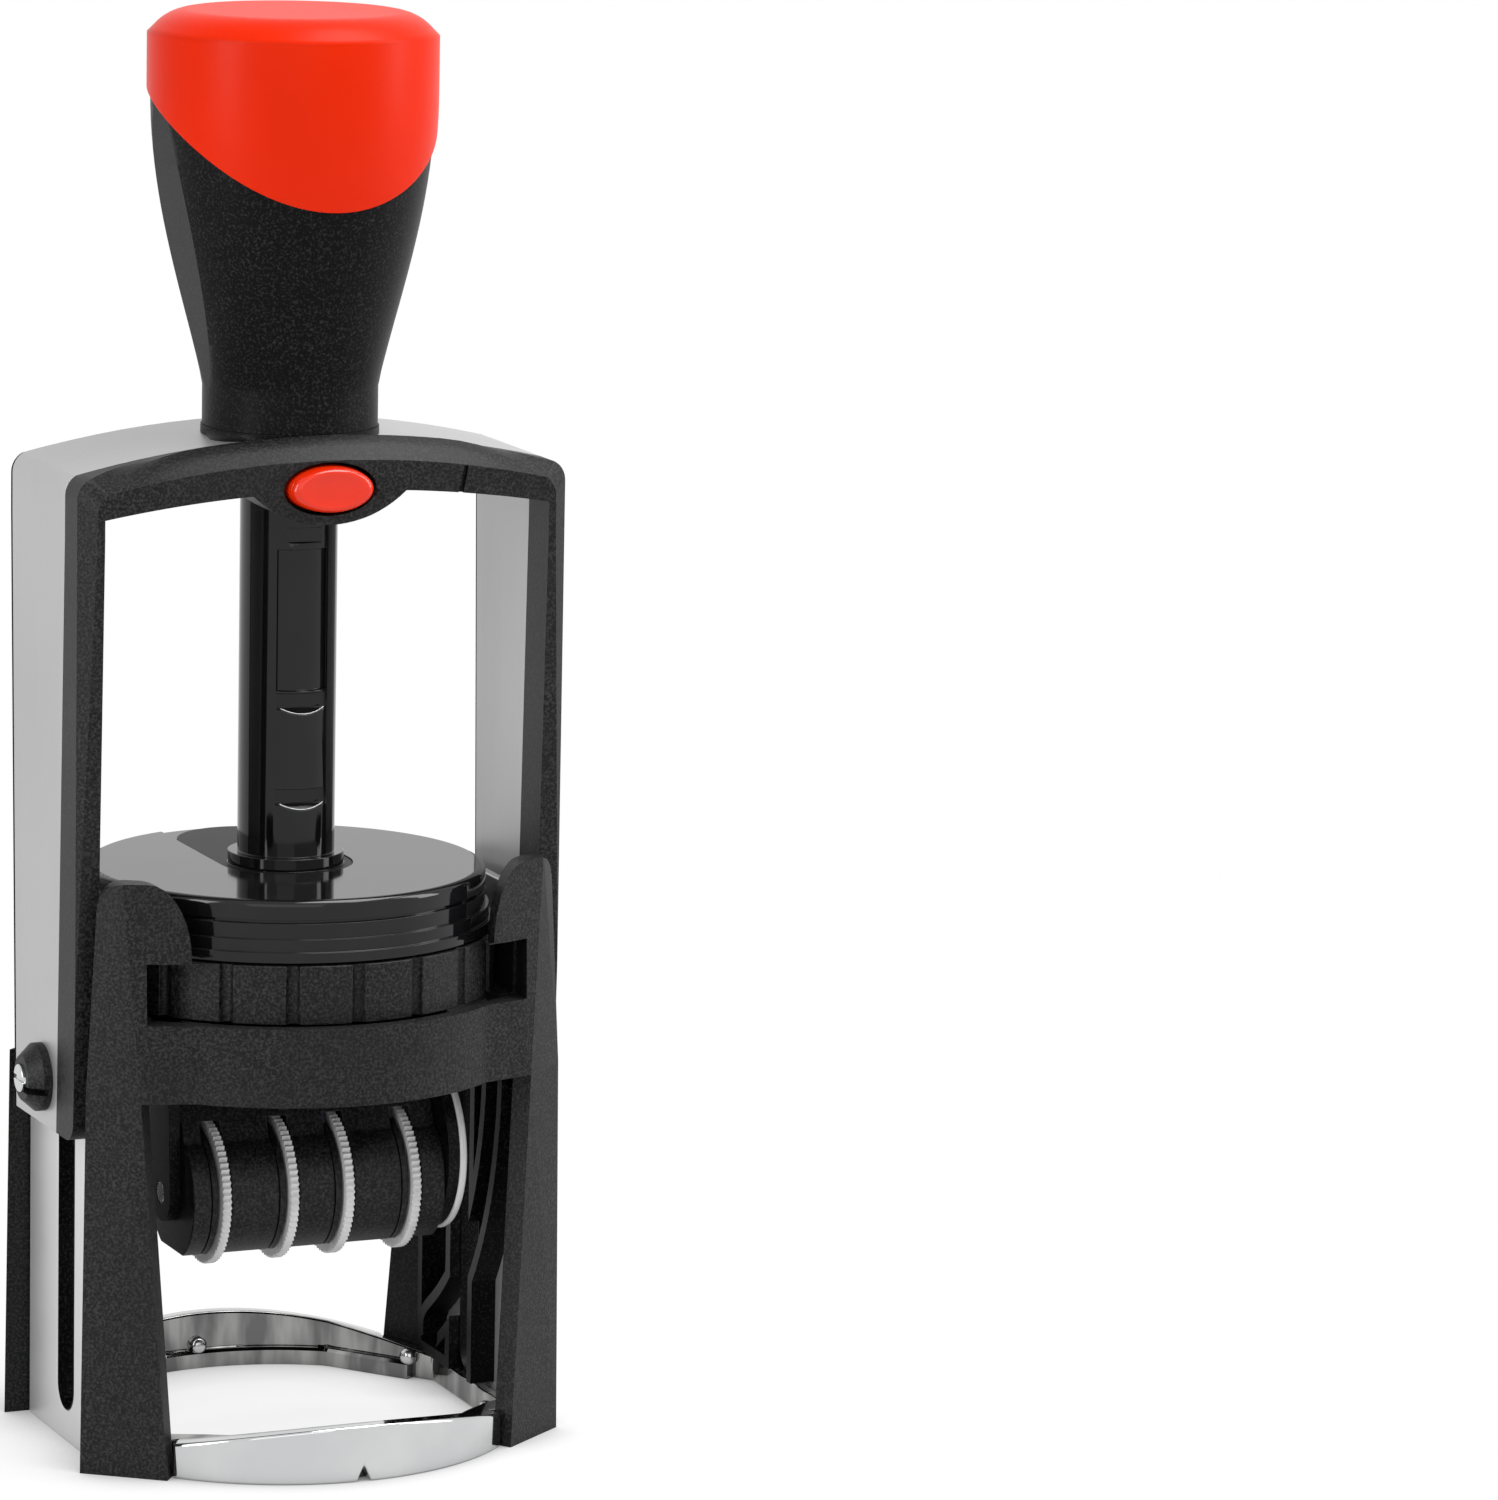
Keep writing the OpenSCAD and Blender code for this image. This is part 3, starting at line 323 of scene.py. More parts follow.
def bright_chrome():
    """Mirror chrome with slight ripples and water marks, painted darker in streaky bands on the
    inside of the foot as a painted dark reflection.
    """
    f = Finish("bright_chrome")
    inside, outside, flat = 31.2 * MM, 31.9 * MM, (1, 1, 0)
    ripple = f.noise(scale=160, detail=3)
    mark = f.noise(scale=60, detail=4)
    # Inside the foot the chrome is painted darker in streaky bands: a painted dark reflection, not
    # a tone of the metal.
    reflection_band = f.noise(scale=240, detail=3, stretch=(1, 1, 0.25))
    bright = f.mix(f.ramp(mark, 0.4, 0.8), (0.56, 0.565, 0.57, 1), grey(0.66))
    painted_dark_reflection = f.mix(f.ramp(reflection_band, 0.4, 0.62), grey(0.14), (0.34, 0.34, 0.335, 1))
    tone = f.mix(f.ramp(f.reach(flat), inside, outside), painted_dark_reflection, bright)
    rough = 0.05 + 0.08 * f.ramp(mark, 0.45, 0.8)
    return f.set(Base_Color=tone, Roughness=rough, Metallic=1.0,
                 Normal=f.bump(ripple, depth=0.05 * MM, strength=0.35))


def turned_steel():
    """Turned steel of pins, screws and springs."""
    f = Finish("turned_steel")
    turn = f.noise(scale=1800, stretch=(1, 0.1, 0.1))
    tone = f.mix(turn, (0.45, 0.45, 0.46, 1), (0.62, 0.62, 0.63, 1))
    rough = 0.18 + 0.14 * turn
    return f.set(Base_Color=tone, Roughness=rough, Metallic=1.0,
                 Normal=f.bump(turn, depth=0.006 * MM, strength=0.5))


def red_gloss():
    """Red moulding, satin with a soft sheen."""
    f = Finish("red_gloss")
    skin = f.noise(scale=2200)
    patch = f.noise(scale=45)
    base = tuple(colours().cap)
    tone = f.mix(f.ramp(patch, 0.3, 0.75), shade(base, 0.95), shade(base, 1.04))
    rough = 0.3 + 0.08 * skin + 0.05 * patch
    return f.set(Base_Color=tone, Roughness=rough, Specular_IOR_Level=0.08,
                 Normal=f.bump(skin, depth=0.008 * MM, strength=0.5))


def red_polish():
    """Glossy red of the lock button."""
    f = Finish("red_polish")
    skin = f.noise(scale=300)
    base = tuple(colours().cap)
    tone = f.mix(f.ramp(skin, 0.3, 0.75), shade(base, 0.97), shade(base, 1.04))
    rough = 0.12 + 0.06 * skin
    return f.set(Base_Color=tone, Roughness=rough, Specular_IOR_Level=0.45,
                 Normal=f.bump(skin, depth=0.01 * MM, strength=0.3))


def wheel_grey():
    """Pale grey moulding of the thumb wheels, a little inky in places."""
    f = Finish("wheel_grey")
    ink = f.noise(scale=240, detail=4)
    skin = f.noise(scale=2400)
    base = tuple(colours().wheel)
    tone = f.mix(f.ramp(ink, 0.52, 0.85) * 0.5, base, shade(base, 0.5))
    rough = 0.42 + 0.16 * skin
    return f.set(Base_Color=tone, Roughness=rough,
                 Normal=f.bump(skin, depth=0.012 * MM, strength=0.6))


def print_rubber():
    """Printing rubber, dusty and slightly stained by ink."""
    f = Finish("print_rubber")
    stain = f.noise(scale=210, detail=4)
    skin = f.noise(scale=3000)
    tone = f.mix(f.ramp(stain, 0.35, 0.75), (0.055, 0.035, 0.035, 1), (0.018, 0.018, 0.04, 1))
    rough = 0.62 + 0.2 * skin
    return f.set(Base_Color=tone, Roughness=rough,
                 Normal=f.bump(skin, depth=0.03 * MM, strength=0.7))


def inked_felt():
    """Felt pad soaked in blue-black ink."""
    f = Finish("inked_felt")
    fibre = f.noise(scale=2600, detail=5, stretch=(1, 1, 0.4))
    wet = f.noise(scale=90, detail=3)
    tone = f.mix(f.ramp(wet, 0.35, 0.7), (0.006, 0.008, 0.035, 1), (0.014, 0.018, 0.07, 1))
    rough = 0.5 + 0.35 * fibre
    return f.set(Base_Color=tone, Roughness=rough,
                 Normal=f.bump(fibre, depth=0.12 * MM, strength=0.9))


MAKERS = {maker.__name__: maker for maker in (
    moulded_black, smooth_black, matt_black, polished_black, satin_plating, plain_plating,
    bright_chrome, turned_steel, red_gloss, red_polish, wheel_grey, print_rubber, inked_felt)}
FINISHES = {}


def finish_for(name):
    """The material of a finish, made when it is first asked for."""
    if name not in FINISHES:
        FINISHES[name] = MAKERS[name]()
    return FINISHES[name]


def body_of(node):
    """The body that a node is on."""
    for body, members in frame["record"]["behaviour"]["bodies"].items():
        if node in members:
            return body
    raise ValueError(f"no body has {node}")


def corners(node):
    """The lowest and highest corner of a node at rest."""
    return [Vector(corner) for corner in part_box(node)]


def fraction(value, start, end):
    """How far a value is on the way from start to end, from 0 to 1."""
    return max(0.0, min(1.0, (value - start) / (end - start)))


def polar(radius, angle, height):
    """The point at a distance from the Z axis, an angle in degrees and a height."""
    turn = math.radians(angle)
    return (radius * math.cos(turn), radius * math.sin(turn), height)


def piece(name, mesh, finish, node):
    """A new object with a finish, which takes its body from a node."""
    obj = bpy.data.objects.new(name, mesh)
    bpy.context.scene.collection.objects.link(obj)
    mesh.materials.clear()
    mesh.materials.append(finish_for(finish))
    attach(obj, body_of(node))
    return obj


def mark_edges(bm, limit, keep):
    """Mark the edges to round: those sharper than a limit and outside a box of crisp edges."""
    weight = bm.edges.layers.float.new("bevel_weight_edge")
    for edge in bm.edges:
        sharp = len(edge.link_faces) == 2 and edge.calc_face_angle() > math.radians(limit)
        crisp = keep and all(
            low <= vert.co[axis] <= high
            for vert in edge.verts for axis, (low, high) in enumerate(zip(*keep)))
        edge[weight] = 1.0 if sharp and not crisp else 0.0


def shaded_mesh(name, bm, crease, limit, keep=None):
    """The mesh of a piece, with its edges marked and its curves smooth."""
    mark_edges(bm, limit, keep)
    for face in bm.faces:
        face.smooth = True
    mesh = bpy.data.meshes.new(name)
    bm.to_mesh(mesh)
    bm.free()
    mesh.set_sharp_from_angle(angle=math.radians(crease))
    return mesh


def soften(obj, radius, segments=2):
    """Round the marked edges of a piece."""
    if radius > 0:
        bevel = obj.modifiers.new("soft_edges", "BEVEL")
        bevel.width = radius
        bevel.segments = segments
        bevel.limit_method = "WEIGHT"
        bevel.use_clamp_overlap = True
        even = obj.modifiers.new("even_shading", "WEIGHTED_NORMAL")
        even.keep_sharp = True


def dress(node, finish, radius=None, crease=30, limit=35, segments=2, keep=None, reshape=None):
    """A copy of a solid with its flat faces joined, its curves smooth and its edges rounded."""
    bm = bmesh.new()
    bm.from_mesh(frame["nodes"][node].data)
    bmesh.ops.remove_doubles(bm, verts=bm.verts, dist=SOLID_MERGE)
    bmesh.ops.dissolve_limit(bm, angle_limit=FLAT, verts=bm.verts, edges=bm.edges,
                             delimit={"NORMAL"})
    if reshape:
        reshape(bm)
    name = "dressed_" + node
    obj = piece(name, shaded_mesh(name, bm, crease, limit, keep), finish, node)
    soften(obj, sizes().crisp_edge if radius is None else radius, segments)
    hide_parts(node)
    return obj


def spring(node):
    """A spring, dressed in turned steel with a mesh of its own."""
    obj = dress(node, "turned_steel", radius=0, crease=75)
    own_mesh(obj)


def solid(name, bm, finish, node):
    """A new piece, with its doubles merged, its faces outwards and its curves smooth."""
    bmesh.ops.remove_doubles(bm, verts=bm.verts, dist=MERGE)
    bmesh.ops.recalc_face_normals(bm, faces=bm.faces)
    return piece(name, shaded_mesh(name, bm, CREASE, CREASE), finish, node)


def verts_in(geometry):
    """The vertices among what an operator gives."""
    return [item for item in geometry if isinstance(item, bmesh.types.BMVert)]


def cut(bm, faces, place, normal):
    """Cut some faces along a plane, and give the vertices on the cut."""
    edges = dict.fromkeys(edge for face in faces for edge in face.edges)
    verts = dict.fromkeys(vert for face in faces for vert in face.verts)
    return verts_in(bmesh.ops.bisect_plane(
        bm, geom=[*verts, *edges, *faces], dist=MERGE, plane_co=place,
        plane_no=normal)["geom_cut"])


def loop_through(bm, points):
    """A closed loop of new edges through points."""
    verts = [bm.verts.new(point) for point in points]
    return [bm.edges.new(pair) for pair in zip(verts, verts[1:] + verts[:1])]


def lathe(profile, steps):
    """A closed profile of radii and heights turned about the Z axis."""
    bm = bmesh.new()
    loop_through(bm, [(radius, 0, height) for radius, height in profile])
    bmesh.ops.spin(bm, geom=bm.verts[:] + bm.edges[:], cent=(0, 0, 0), axis=UP,
                   angle=math.radians(360), steps=steps, use_merge=True)
    return bm


def loft(rings):
    """A closed shape through rings of points, which all have the same number of points."""
    bm = bmesh.new()
    loops = [loop_through(bm, points) for points in rings]
    for near, far in zip(loops, loops[1:]):
        bmesh.ops.bridge_loops(bm, edges=near + far)
    for end in (loops[0], loops[-1]):
        bmesh.ops.edgeloop_fill(bm, edges=end)
    return bm


def mesh_from(curve):
    """The mesh of a curve or text, which is removed."""
    obj = bpy.data.objects.new(curve.name, curve)
    bpy.context.scene.collection.objects.link(obj)
    depsgraph = bpy.context.evaluated_depsgraph_get()
    mesh = bpy.data.meshes.new_from_object(obj.evaluated_get(depsgraph))
    bpy.data.objects.remove(obj)
    bpy.data.curves.remove(curve)
    return mesh


def wire(name, points, radius):
    """The mesh of a thin round wire through points."""
    curve = bpy.data.curves.new(name, "CURVE")
    curve.dimensions = "3D"
    curve.bevel_depth = radius
    curve.bevel_resolution = 2
    curve.use_fill_caps = True
    spline = curve.splines.new("POLY")
    spline.points.add(len(points) - 1)
    for spot, point in zip(spline.points, points):
        spot.co = (*point, 1)
    return mesh_from(curve)


def add_figure(bm, text, size, height, place):
    """Add a raised figure, reversed as on a stamp, that stands on a plane through its place."""
    curve = bpy.data.curves.new("figure", "FONT")
    curve.body = text
    curve.size = size
    curve.align_x = "CENTER"
    curve.align_y = "CENTER"
    curve.extrude = height
    mesh = mesh_from(curve)
    mesh.transform(place @ Matrix.Scale(-1, 4, (1, 0, 0)))
    bm.from_mesh(mesh)
    bpy.data.meshes.remove(mesh)


class STAMP_OT_frame(bpy.types.Operator):
    """Black frame, its guide cheeks and the bezels of the yoke"""
    bl_idname = "stamp.frame"
    bl_label = "Frame and bezels"

    def execute(self, context):
        soft = sizes().soft_edge
        low, high = corners("lock_button")
        room = Vector((1, 8, 1)) * MM
        dress("base_frame", "moulded_black", radius=soft, segments=3)
        dress("front_bezel", "moulded_black", radius=soft, crease=25, segments=3,
              keep=(low - room, high + room), reshape=self.shape_front)
        dress("rear_bezel", "matt_black", radius=0.4 * soft, reshape=self.slim)
        for side in SIDES:
            dress(side + "_guide_cheek", "smooth_black", crease=40)
        return {"FINISHED"}

    def slim(self, bm):
        """Draw the rear bezel's legs out, so that the band shows up to its rear edge."""
        level, shift = 133.3 * MM, 1.8 * MM
        inner, full, outer = 28 * MM, 31 * MM, 33.5 * MM
        for vert in bm.verts:
            along = abs(vert.co.x)
            if vert.co.z < level and inner < along < outer:
                vert.co.x += math.copysign(shift * fraction(along, inner, full), vert.co.x)

    def shape_front(self, bm):
        """Round the slope along the front bezel's top, then arch its opening."""
        self.slope(bm)
        self.arch(bm)

    def slope(self, bm):
        """Draw the bevel along the bezel's top further back and swell it into a rounded slope."""
        front, bevel_edge, back, near = -16 * MM, -13.8 * MM, -10.4 * MM, 0.05 * MM
        foot, upwards, forwards = 135.5 * MM, 0.5, -0.15
        rows, height, bend = (0.12, 0.26, 0.44, 0.68), 2.2 * MM, 2.6
        inner, outer, full, ending = 29 * MM, 34 * MM, 18 * MM, 33.3 * MM
        for vert in bm.verts:
            if abs(vert.co.y - bevel_edge) < near and vert.co.z > foot:
                vert.co.y += (back - bevel_edge) * fraction(abs(vert.co.x), outer, inner)
        bm.normal_update()
        for row in rows:
            faces = [face for face in bm.faces
                     if face.normal.z > upwards and face.normal.y < forwards
                     and face.calc_center_median().z > foot
                     and abs(face.calc_center_median().x) < ending]
            for vert in cut(bm, faces, (0, front + row * (back - front), 0), (0, 1, 0)):
                fade = fraction(abs(vert.co.x), ending, full)
                ease = fade * fade * (3 - 2 * fade)
                vert.co.z += ease * height * (1 - (1 - row) ** bend - row)

    def arch(self, bm):
        """Let the top of the bezel's opening sink towards its corners, beside the lobe."""
        level, near, downwards = 133.2 * MM, 0.05 * MM, -0.99
        inner, outer, drop, cuts = 11.2 * MM, 31.9 * MM, 2.4 * MM, 12
        for sign in (-1, 1):
            for number in range(cuts):
                faces = [face for face in bm.faces
                         if face.normal.z < downwards
                         and abs(face.calc_center_median().z - level) < near
                         and sign * face.calc_center_median().x > 0]
                place = sign * (inner + (outer - inner) * number / cuts)
                cut(bm, faces, (place, 0, 0), (1, 0, 0))
        for vert in bm.verts:
            along = abs(vert.co.x)
            if abs(vert.co.z - level) < near and inner < along < outer + near:
                vert.co.z -= drop * (along ** 2 - inner ** 2) / (outer ** 2 - inner ** 2)


class STAMP_OT_metal(bpy.types.Operator):
    """Plated yoke, side plates and foot ring"""
    bl_idname = "stamp.metal"
    bl_label = "Plated pieces"

    def execute(self, context):
        dress("yoke_band", "satin_plating", radius=0.3 * MM, crease=20)
        dress("foot_ring", "bright_chrome", radius=0.3 * MM, crease=20)
        for side in SIDES:
            dress(side + "_side_plate", "plain_plating")
        self.foot_lip()
        self.slot_liners()
        return {"FINISHED"}

    def ring_wall(self):
        """A function for the distance from the axis to the inside of the foot ring at an angle."""
        height = 3 * MM
        bm = bmesh.new()
        bm.from_mesh(frame["nodes"]["foot_ring"].data)
        tree = BVHTree.FromBMesh(bm)
        bm.free()

        def reach(angle):
            spot = tree.ray_cast(height * UP, Vector(polar(1, angle, 0)))[0]
            if spot is None:
                raise RuntimeError(f"the foot ring has no wall at {angle} degrees")
            return spot.xy.length

        return reach

    def foot_lip(self):
        """Lip inside the foot ring at the front and back, with three small domed pegs on each."""
        section = [(-1.25, 0.02), (0.05, 0.02), (0.05, 2.2), (-0.35, 2.5), (-0.85, 2.5),
                   (-1.25, 2.1)]
        dome = [(0, 0), (1.25, 0), (1.25, 0.7), (1.0, 1.1), (0.6, 1.3), (0, 1.35)]
        first, last, step = 30, 150, 2
        peg_angles, peg_height, peg_steps = (31, 92.5, 149), 3.1 * MM, 24
        lean = Matrix.Rotation(math.radians(-90), 4, "Y")
        reach = self.ring_wall()
        for name, turn in (("back", 0), ("front", 180)):
            rings = [[polar(reach(angle) + out * MM, angle, height * MM)
                      for out, height in section]
                     for angle in range(turn + first, turn + last + 1, step)]
            solid(f"foot_lip_{name}", loft(rings), "bright_chrome", "foot_ring")
            for number, angle in enumerate(peg_angles, 1):
                spin = Matrix.Rotation(math.radians(turn + angle), 4, "Z")
                move = Matrix.Translation((reach(turn + angle), 0, peg_height))
                bm = lathe([(radius * MM, height * MM) for radius, height in dome], peg_steps)
                bmesh.ops.transform(bm, matrix=spin @ move @ lean, verts=bm.verts)
                solid(f"foot_peg_{name}_{number}", bm, "turned_steel", "foot_ring")

    def slot_liners(self):
        """Black lining of the slots that the axle slides in."""
        half, low, high, steps = 3.39 * MM, 4.4 * MM, 55.3 * MM, 24
        wall, inwards = 0.12 * MM, 2 * MM
        turns = [math.radians(180 * k / steps) for k in range(steps + 1)]
        ends = ((high - half, 0), (low + half, math.pi))
        for side in SIDES:
            near, far = (corner.x for corner in corners(side + "_side_plate"))
            if side == "left":
                far += inwards
            else:
                near -= inwards
            bm = bmesh.new()
            loops = []
            for radius in (half, half - wall):
                loops += loop_through(bm, [
                    (near, radius * math.cos(start + turn),
                     middle + radius * math.sin(start + turn))
                    for middle, start in ends for turn in turns])
            faces = bmesh.ops.bridge_loops(bm, edges=loops)["faces"]
            raised = bmesh.ops.extrude_face_region(bm, geom=faces)["geom"]
            bmesh.ops.translate(bm, vec=(far - near, 0, 0), verts=verts_in(raised))
            solid(f"{side}_slot_liner", bm, "smooth_black", side + "_side_plate")


class STAMP_OT_handle(bpy.types.Operator):
    """Grip, red cap, collar and the bush inside"""
    bl_idname = "stamp.handle"
    bl_label = "Handle"

    def execute(self, context):
        dress("handle_grip", "smooth_black", radius=0.2 * MM, crease=11)
        dress("handle_cap", "red_gloss", radius=0.4 * MM, crease=45, limit=50, segments=3,
              reshape=self.round_shoulder)
        dress("collar", "smooth_black", radius=0.05 * MM)
        dress("guide_bush", "wheel_grey")
        self.collar_skirt()
        return {"FINISHED"}

    def round_shoulder(self, bm):
        """Swell the cap's shoulder between its rim and its flat top."""
        top = corners("handle_cap")[1].z
        height, cuts, steep, flat = 2.4 * MM, 6, 0.2, 0.99
        swell, outwards, upwards, margin, bore = 0.5 * MM, 0.47, 0.88, 0.05, 14 * MM
        for number in range(1, cuts):
            faces = [face for face in bm.faces
                     if steep < face.normal.z < flat
                     and face.calc_center_median().z > top - height]
            cut(bm, faces, (0, 0, top - height * (1 - number / cuts)), UP)
        for vert in bm.verts:
            share = 1 - (top - vert.co.z) / height
            reach = Vector((vert.co.x, vert.co.y, 0))
            if margin < share < 1 - margin and reach.length > bore:
                amount = 4 * swell * share * (1 - share)
                vert.co += amount * (outwards * reach.normalized() + upwards * UP)

    def collar_skirt(self):
        """Fillet from the collar's left side out to the bezel's rear edge, over the band."""
        inner, neck, top, sink = 11.9 * MM, 12.22 * MM, 140.35 * MM, 0.15 * MM
        crown, crown_radius, edge = 139.9 * MM, 145 * MM, 8.9 * MM
        start, end, steps, rows = 2, 48, 24, 8
        rim, least, spread, corner, bend = 0.2 * MM, 0.1 * MM, 7.4 * MM, 25.5, 2.2
        rings = []
        for step in range(steps + 1):
            angle = start + (end - start) * step / steps
            turn = math.radians(angle)
            foot = neck + rim + spread * min(1.0, angle / corner) ** bend
            foot = max(neck + least, min(foot, edge / math.sin(turn)))
            across = foot * math.cos(turn)
            ground = crown - crown_radius + math.sqrt(crown_radius ** 2 - across ** 2) - sink
            points = [(inner, ground), (inner, top)]
            for row in range(rows + 1):
                lean = math.pi / 2 * row / rows
                points.append((neck + (foot - neck) * (1 - math.cos(lean)),
                               top - (top - ground) * math.sin(lean)))
            rings.append([polar(reach, 180 + angle, height) for reach, height in points])
        solid("left_collar_skirt", loft(rings), "smooth_black", "collar")


class STAMP_OT_lock(bpy.types.Operator):
    """Red lock button and its spring"""
    bl_idname = "stamp.lock"
    bl_label = "Lock button"

    def execute(self, context):
        low, high = corners("lock_button")
        shrink, proud, seat, steps = 0.93, 3 * MM, 0.9 * MM, 72
        profile = ((1.0, 0.0), (0.99, 0.35), (0.965, 0.65), (0.92, 0.9), (0.86, 1.08),
                   (0.8, 1.15), (0.74, 1.12), (0.6, 1.02), (0.35, 0.95), (0.12, 0.93))
        middle = (low + high) / 2
        half = shrink * (high - low) / 2
        turns = [2 * math.pi * k / steps for k in range(steps)]

        def narrow(bm):
            """Draw in the part of the button that stands proud, so that a gap shows round it."""
            for vert in bm.verts:
                if vert.co.y < low.y + proud:
                    vert.co.x = middle.x + shrink * (vert.co.x - middle.x)
                    vert.co.z = middle.z + shrink * (vert.co.z - middle.z)

        dress("lock_button", "red_polish", radius=0.1 * MM, reshape=narrow)
        spring("lock_spring")
        rings = [[(middle.x + share * half.x * math.cos(turn), low.y + seat - rise * MM,
                   middle.z + share * half.z * math.sin(turn)) for turn in turns]
                 for share, rise in profile]
        solid("button_dome", loft(rings), "red_polish", "lock_button")
        return {"FINISHED"}


class STAMP_OT_column(bpy.types.Operator):
    """Polished column, its stop and the return spring"""
    bl_idname = "stamp.column"
    bl_label = "Column"

    def execute(self, context):
        dress("column", "polished_black", radius=0.12 * MM)
        dress("column_stop", "turned_steel")
        spring("return_spring")
        self.notch_rims()
        return {"FINISHED"}

    def notch_rims(self):
        """Thin bright wires below the column's two lower notches: painted highlights along the
        notch edges.
        """
        radius, half, slope_y, lift = 6.61 * MM, 3.1 * MM, -5.9 * MM, 0.12 * MM
        thick, steps = 0.08 * MM, 24
        for name, ledge in (("upper", 102.0 * MM), ("lower", 88.7 * MM)):
            points = []
            for k in range(steps + 1):
                x = half * (2 * k / steps - 1)
                y = -math.sqrt(radius ** 2 - x ** 2)
                points.append((x, y, ledge + y - slope_y + lift))
            # Each wire is a painted highlight, a bright steel line along a notch's lower edge.
            piece(f"notch_highlight_{name}", wire("notch_highlight", points, thick), "turned_steel", "column")


class STAMP_OT_pad(bpy.types.Operator):
    """Polished pad cover, the sliding cassette and its felt"""
    bl_idname = "stamp.pad"
    bl_label = "Pad"

    def execute(self, context):
        dress("pad_cover", "polished_black", radius=0.2 * MM)
        dress("pad_cassette", "moulded_black", radius=0.3 * MM)
        dress("ink_pad", "inked_felt", radius=0.4 * MM)
        self.tongue()
        return {"FINISHED"}

    def tongue(self):
        """Matte strip let into the cover's top, from the column to its rear edge."""
        radius, margin, sink, thick, edge_radius = 9.2 * MM, 2 * MM, 0.38 * MM, 0.25 * MM, 0.08 * MM
        high = corners("pad_cover")[1]
        bm = bmesh.new()
        rim = bmesh.ops.create_circle(bm, cap_ends=True, segments=64, radius=radius)["verts"]
        bmesh.ops.translate(bm, vec=(0, high.y - radius - margin, 0),
                            verts=[vert for vert in rim if vert.co.y > MERGE])
        bmesh.ops.translate(bm, vec=(0, 0, high.z - sink), verts=rim)
        raised = bmesh.ops.extrude_face_region(bm, geom=bm.faces[:])["geom"]
        bmesh.ops.translate(bm, vec=(0, 0, thick), verts=verts_in(raised))
        bmesh.ops.edgeloop_fill(bm, edges=[edge for edge in bm.edges if edge.is_boundary])
        soften(solid("cover_tongue", bm, "moulded_black", "pad_cover"), edge_radius)


class STAMP_OT_axle(bpy.types.Operator):
    """Axle pins with their split knobs and screws"""
    bl_idname = "stamp.axle"
    bl_label = "Axle"

    def execute(self, context):
        for side in SIDES:
            dress(side + "_axle_pin", "turned_steel")
            dress(side + "_axle_knob", "moulded_black", radius=0.5 * MM, segments=3, limit=25)
            dress(side + "_axle_screw", "bright_chrome", radius=0.3 * MM, segments=3)
        return {"FINISHED"}


class STAMP_OT_carrier(bpy.types.Operator):
    """Flip carrier with its drum, end disc, date wheels and printing faces"""
    bl_idname = "stamp.carrier"
    bl_label = "Carrier"

    def execute(self, context):
        dress("carrier_frame", "smooth_black")
        dress("drum_cover", "moulded_black", radius=0.25 * MM)
        dress("wheel_axle", "turned_steel")
        dress("band_bridge", "turned_steel")
        dress("date_bands", "print_rubber", radius=0, crease=40)
        dress("text_die", "print_rubber")
        dress("time_ring", "wheel_grey")
        dress("time_dial", "print_rubber")
        dress("end_disc", "wheel_grey", radius=0.3 * MM)
        for number in range(1, 5):
            dress(f"date_wheel_{number}", "wheel_grey", radius=0.06 * MM, crease=20, limit=30)
        self.slot_rings()
        self.dial_figures()
        self.band_figures()
        return {"FINISHED"}

    def slot_rings(self):
        """Rings that narrow the drum's slots beside the wheels, cut level with its lower edge."""
        inner, outer, thick, steps = 8.1 * MM, 9.2 * MM, 0.8 * MM, 72
        wheels, half_wheel, room = (-13.85, -4.05, 4.05, 13.85), 0.6, 0.4 * MM
        axis_y, axis_z = -6 * MM, 35.7 * MM
        lean = Matrix.Rotation(math.radians(90), 4, "Y")
        lower_edge = corners("drum_cover")[0].z
        for number, wheel in enumerate(wheels, 1):
            start = (wheel - half_wheel) * MM - room - thick
            bm = lathe([(inner, 0), (outer, 0), (outer, thick), (inner, thick)], steps)
            bmesh.ops.transform(bm, matrix=Matrix.Translation((start, axis_y, axis_z)) @ lean,
                                verts=bm.verts)
            bmesh.ops.bisect_plane(bm, geom=bm.verts[:] + bm.edges[:] + bm.faces[:], dist=MERGE,
                                   plane_co=(0, 0, lower_edge), plane_no=UP, clear_inner=True)
            bmesh.ops.holes_fill(bm, edges=[edge for edge in bm.edges if edge.is_boundary])
            solid(f"slot_ring_{number}", bm, "moulded_black", "drum_cover")

    def dial_figures(self):
        """Hours and minute strokes raised on the time dial."""
        middle, size, raised = 19 * MM, 3.4 * MM, 0.16 * MM
        width, inset, long_stroke, short_stroke = 0.25 * MM, 0.7 * MM, 1.0 * MM, 0.6 * MM
        high = corners("time_dial")[1]
        bm = bmesh.new()
        for hour in range(1, 13):
            turn = Matrix.Rotation(math.radians(360 / 12 * hour), 4, "Z")
            add_figure(bm, str(hour), size, raised, turn @ Matrix.Translation((0, middle, high.z)))
        for minute in range(60):
            turn = Matrix.Rotation(math.radians(360 / 60 * minute), 3, "Z")
            length = long_stroke if minute % 5 == 0 else short_stroke
            stroke = bmesh.ops.create_cube(bm, size=1)["verts"]
            bmesh.ops.scale(bm, vec=(width, length, 2 * raised), verts=stroke)
            bmesh.ops.translate(bm, vec=(0, high.x - inset, high.z), verts=stroke)
            bmesh.ops.rotate(bm, cent=(0, 0, 0), matrix=turn, verts=stroke)
        solid("dial_figures", bm, "print_rubber", "time_dial")

    def band_figures(self):
        """A figure on each date band where it passes the printing face."""
        size, raised, aside = 2.4 * MM, 0.1 * MM, 0.6 * MM
        face = corners("date_bands")[1].z
        bm = bmesh.new()
        for number, text in enumerate("1230", 1):
            low, high = corners(f"date_wheel_{number}")
            middle = (low.x + high.x) / 2 + (aside if number < 3 else -aside)
            add_figure(bm, text, size, raised, Matrix.Translation((middle, 0, face)))
        solid("band_figures", bm, "print_rubber", "date_bands")


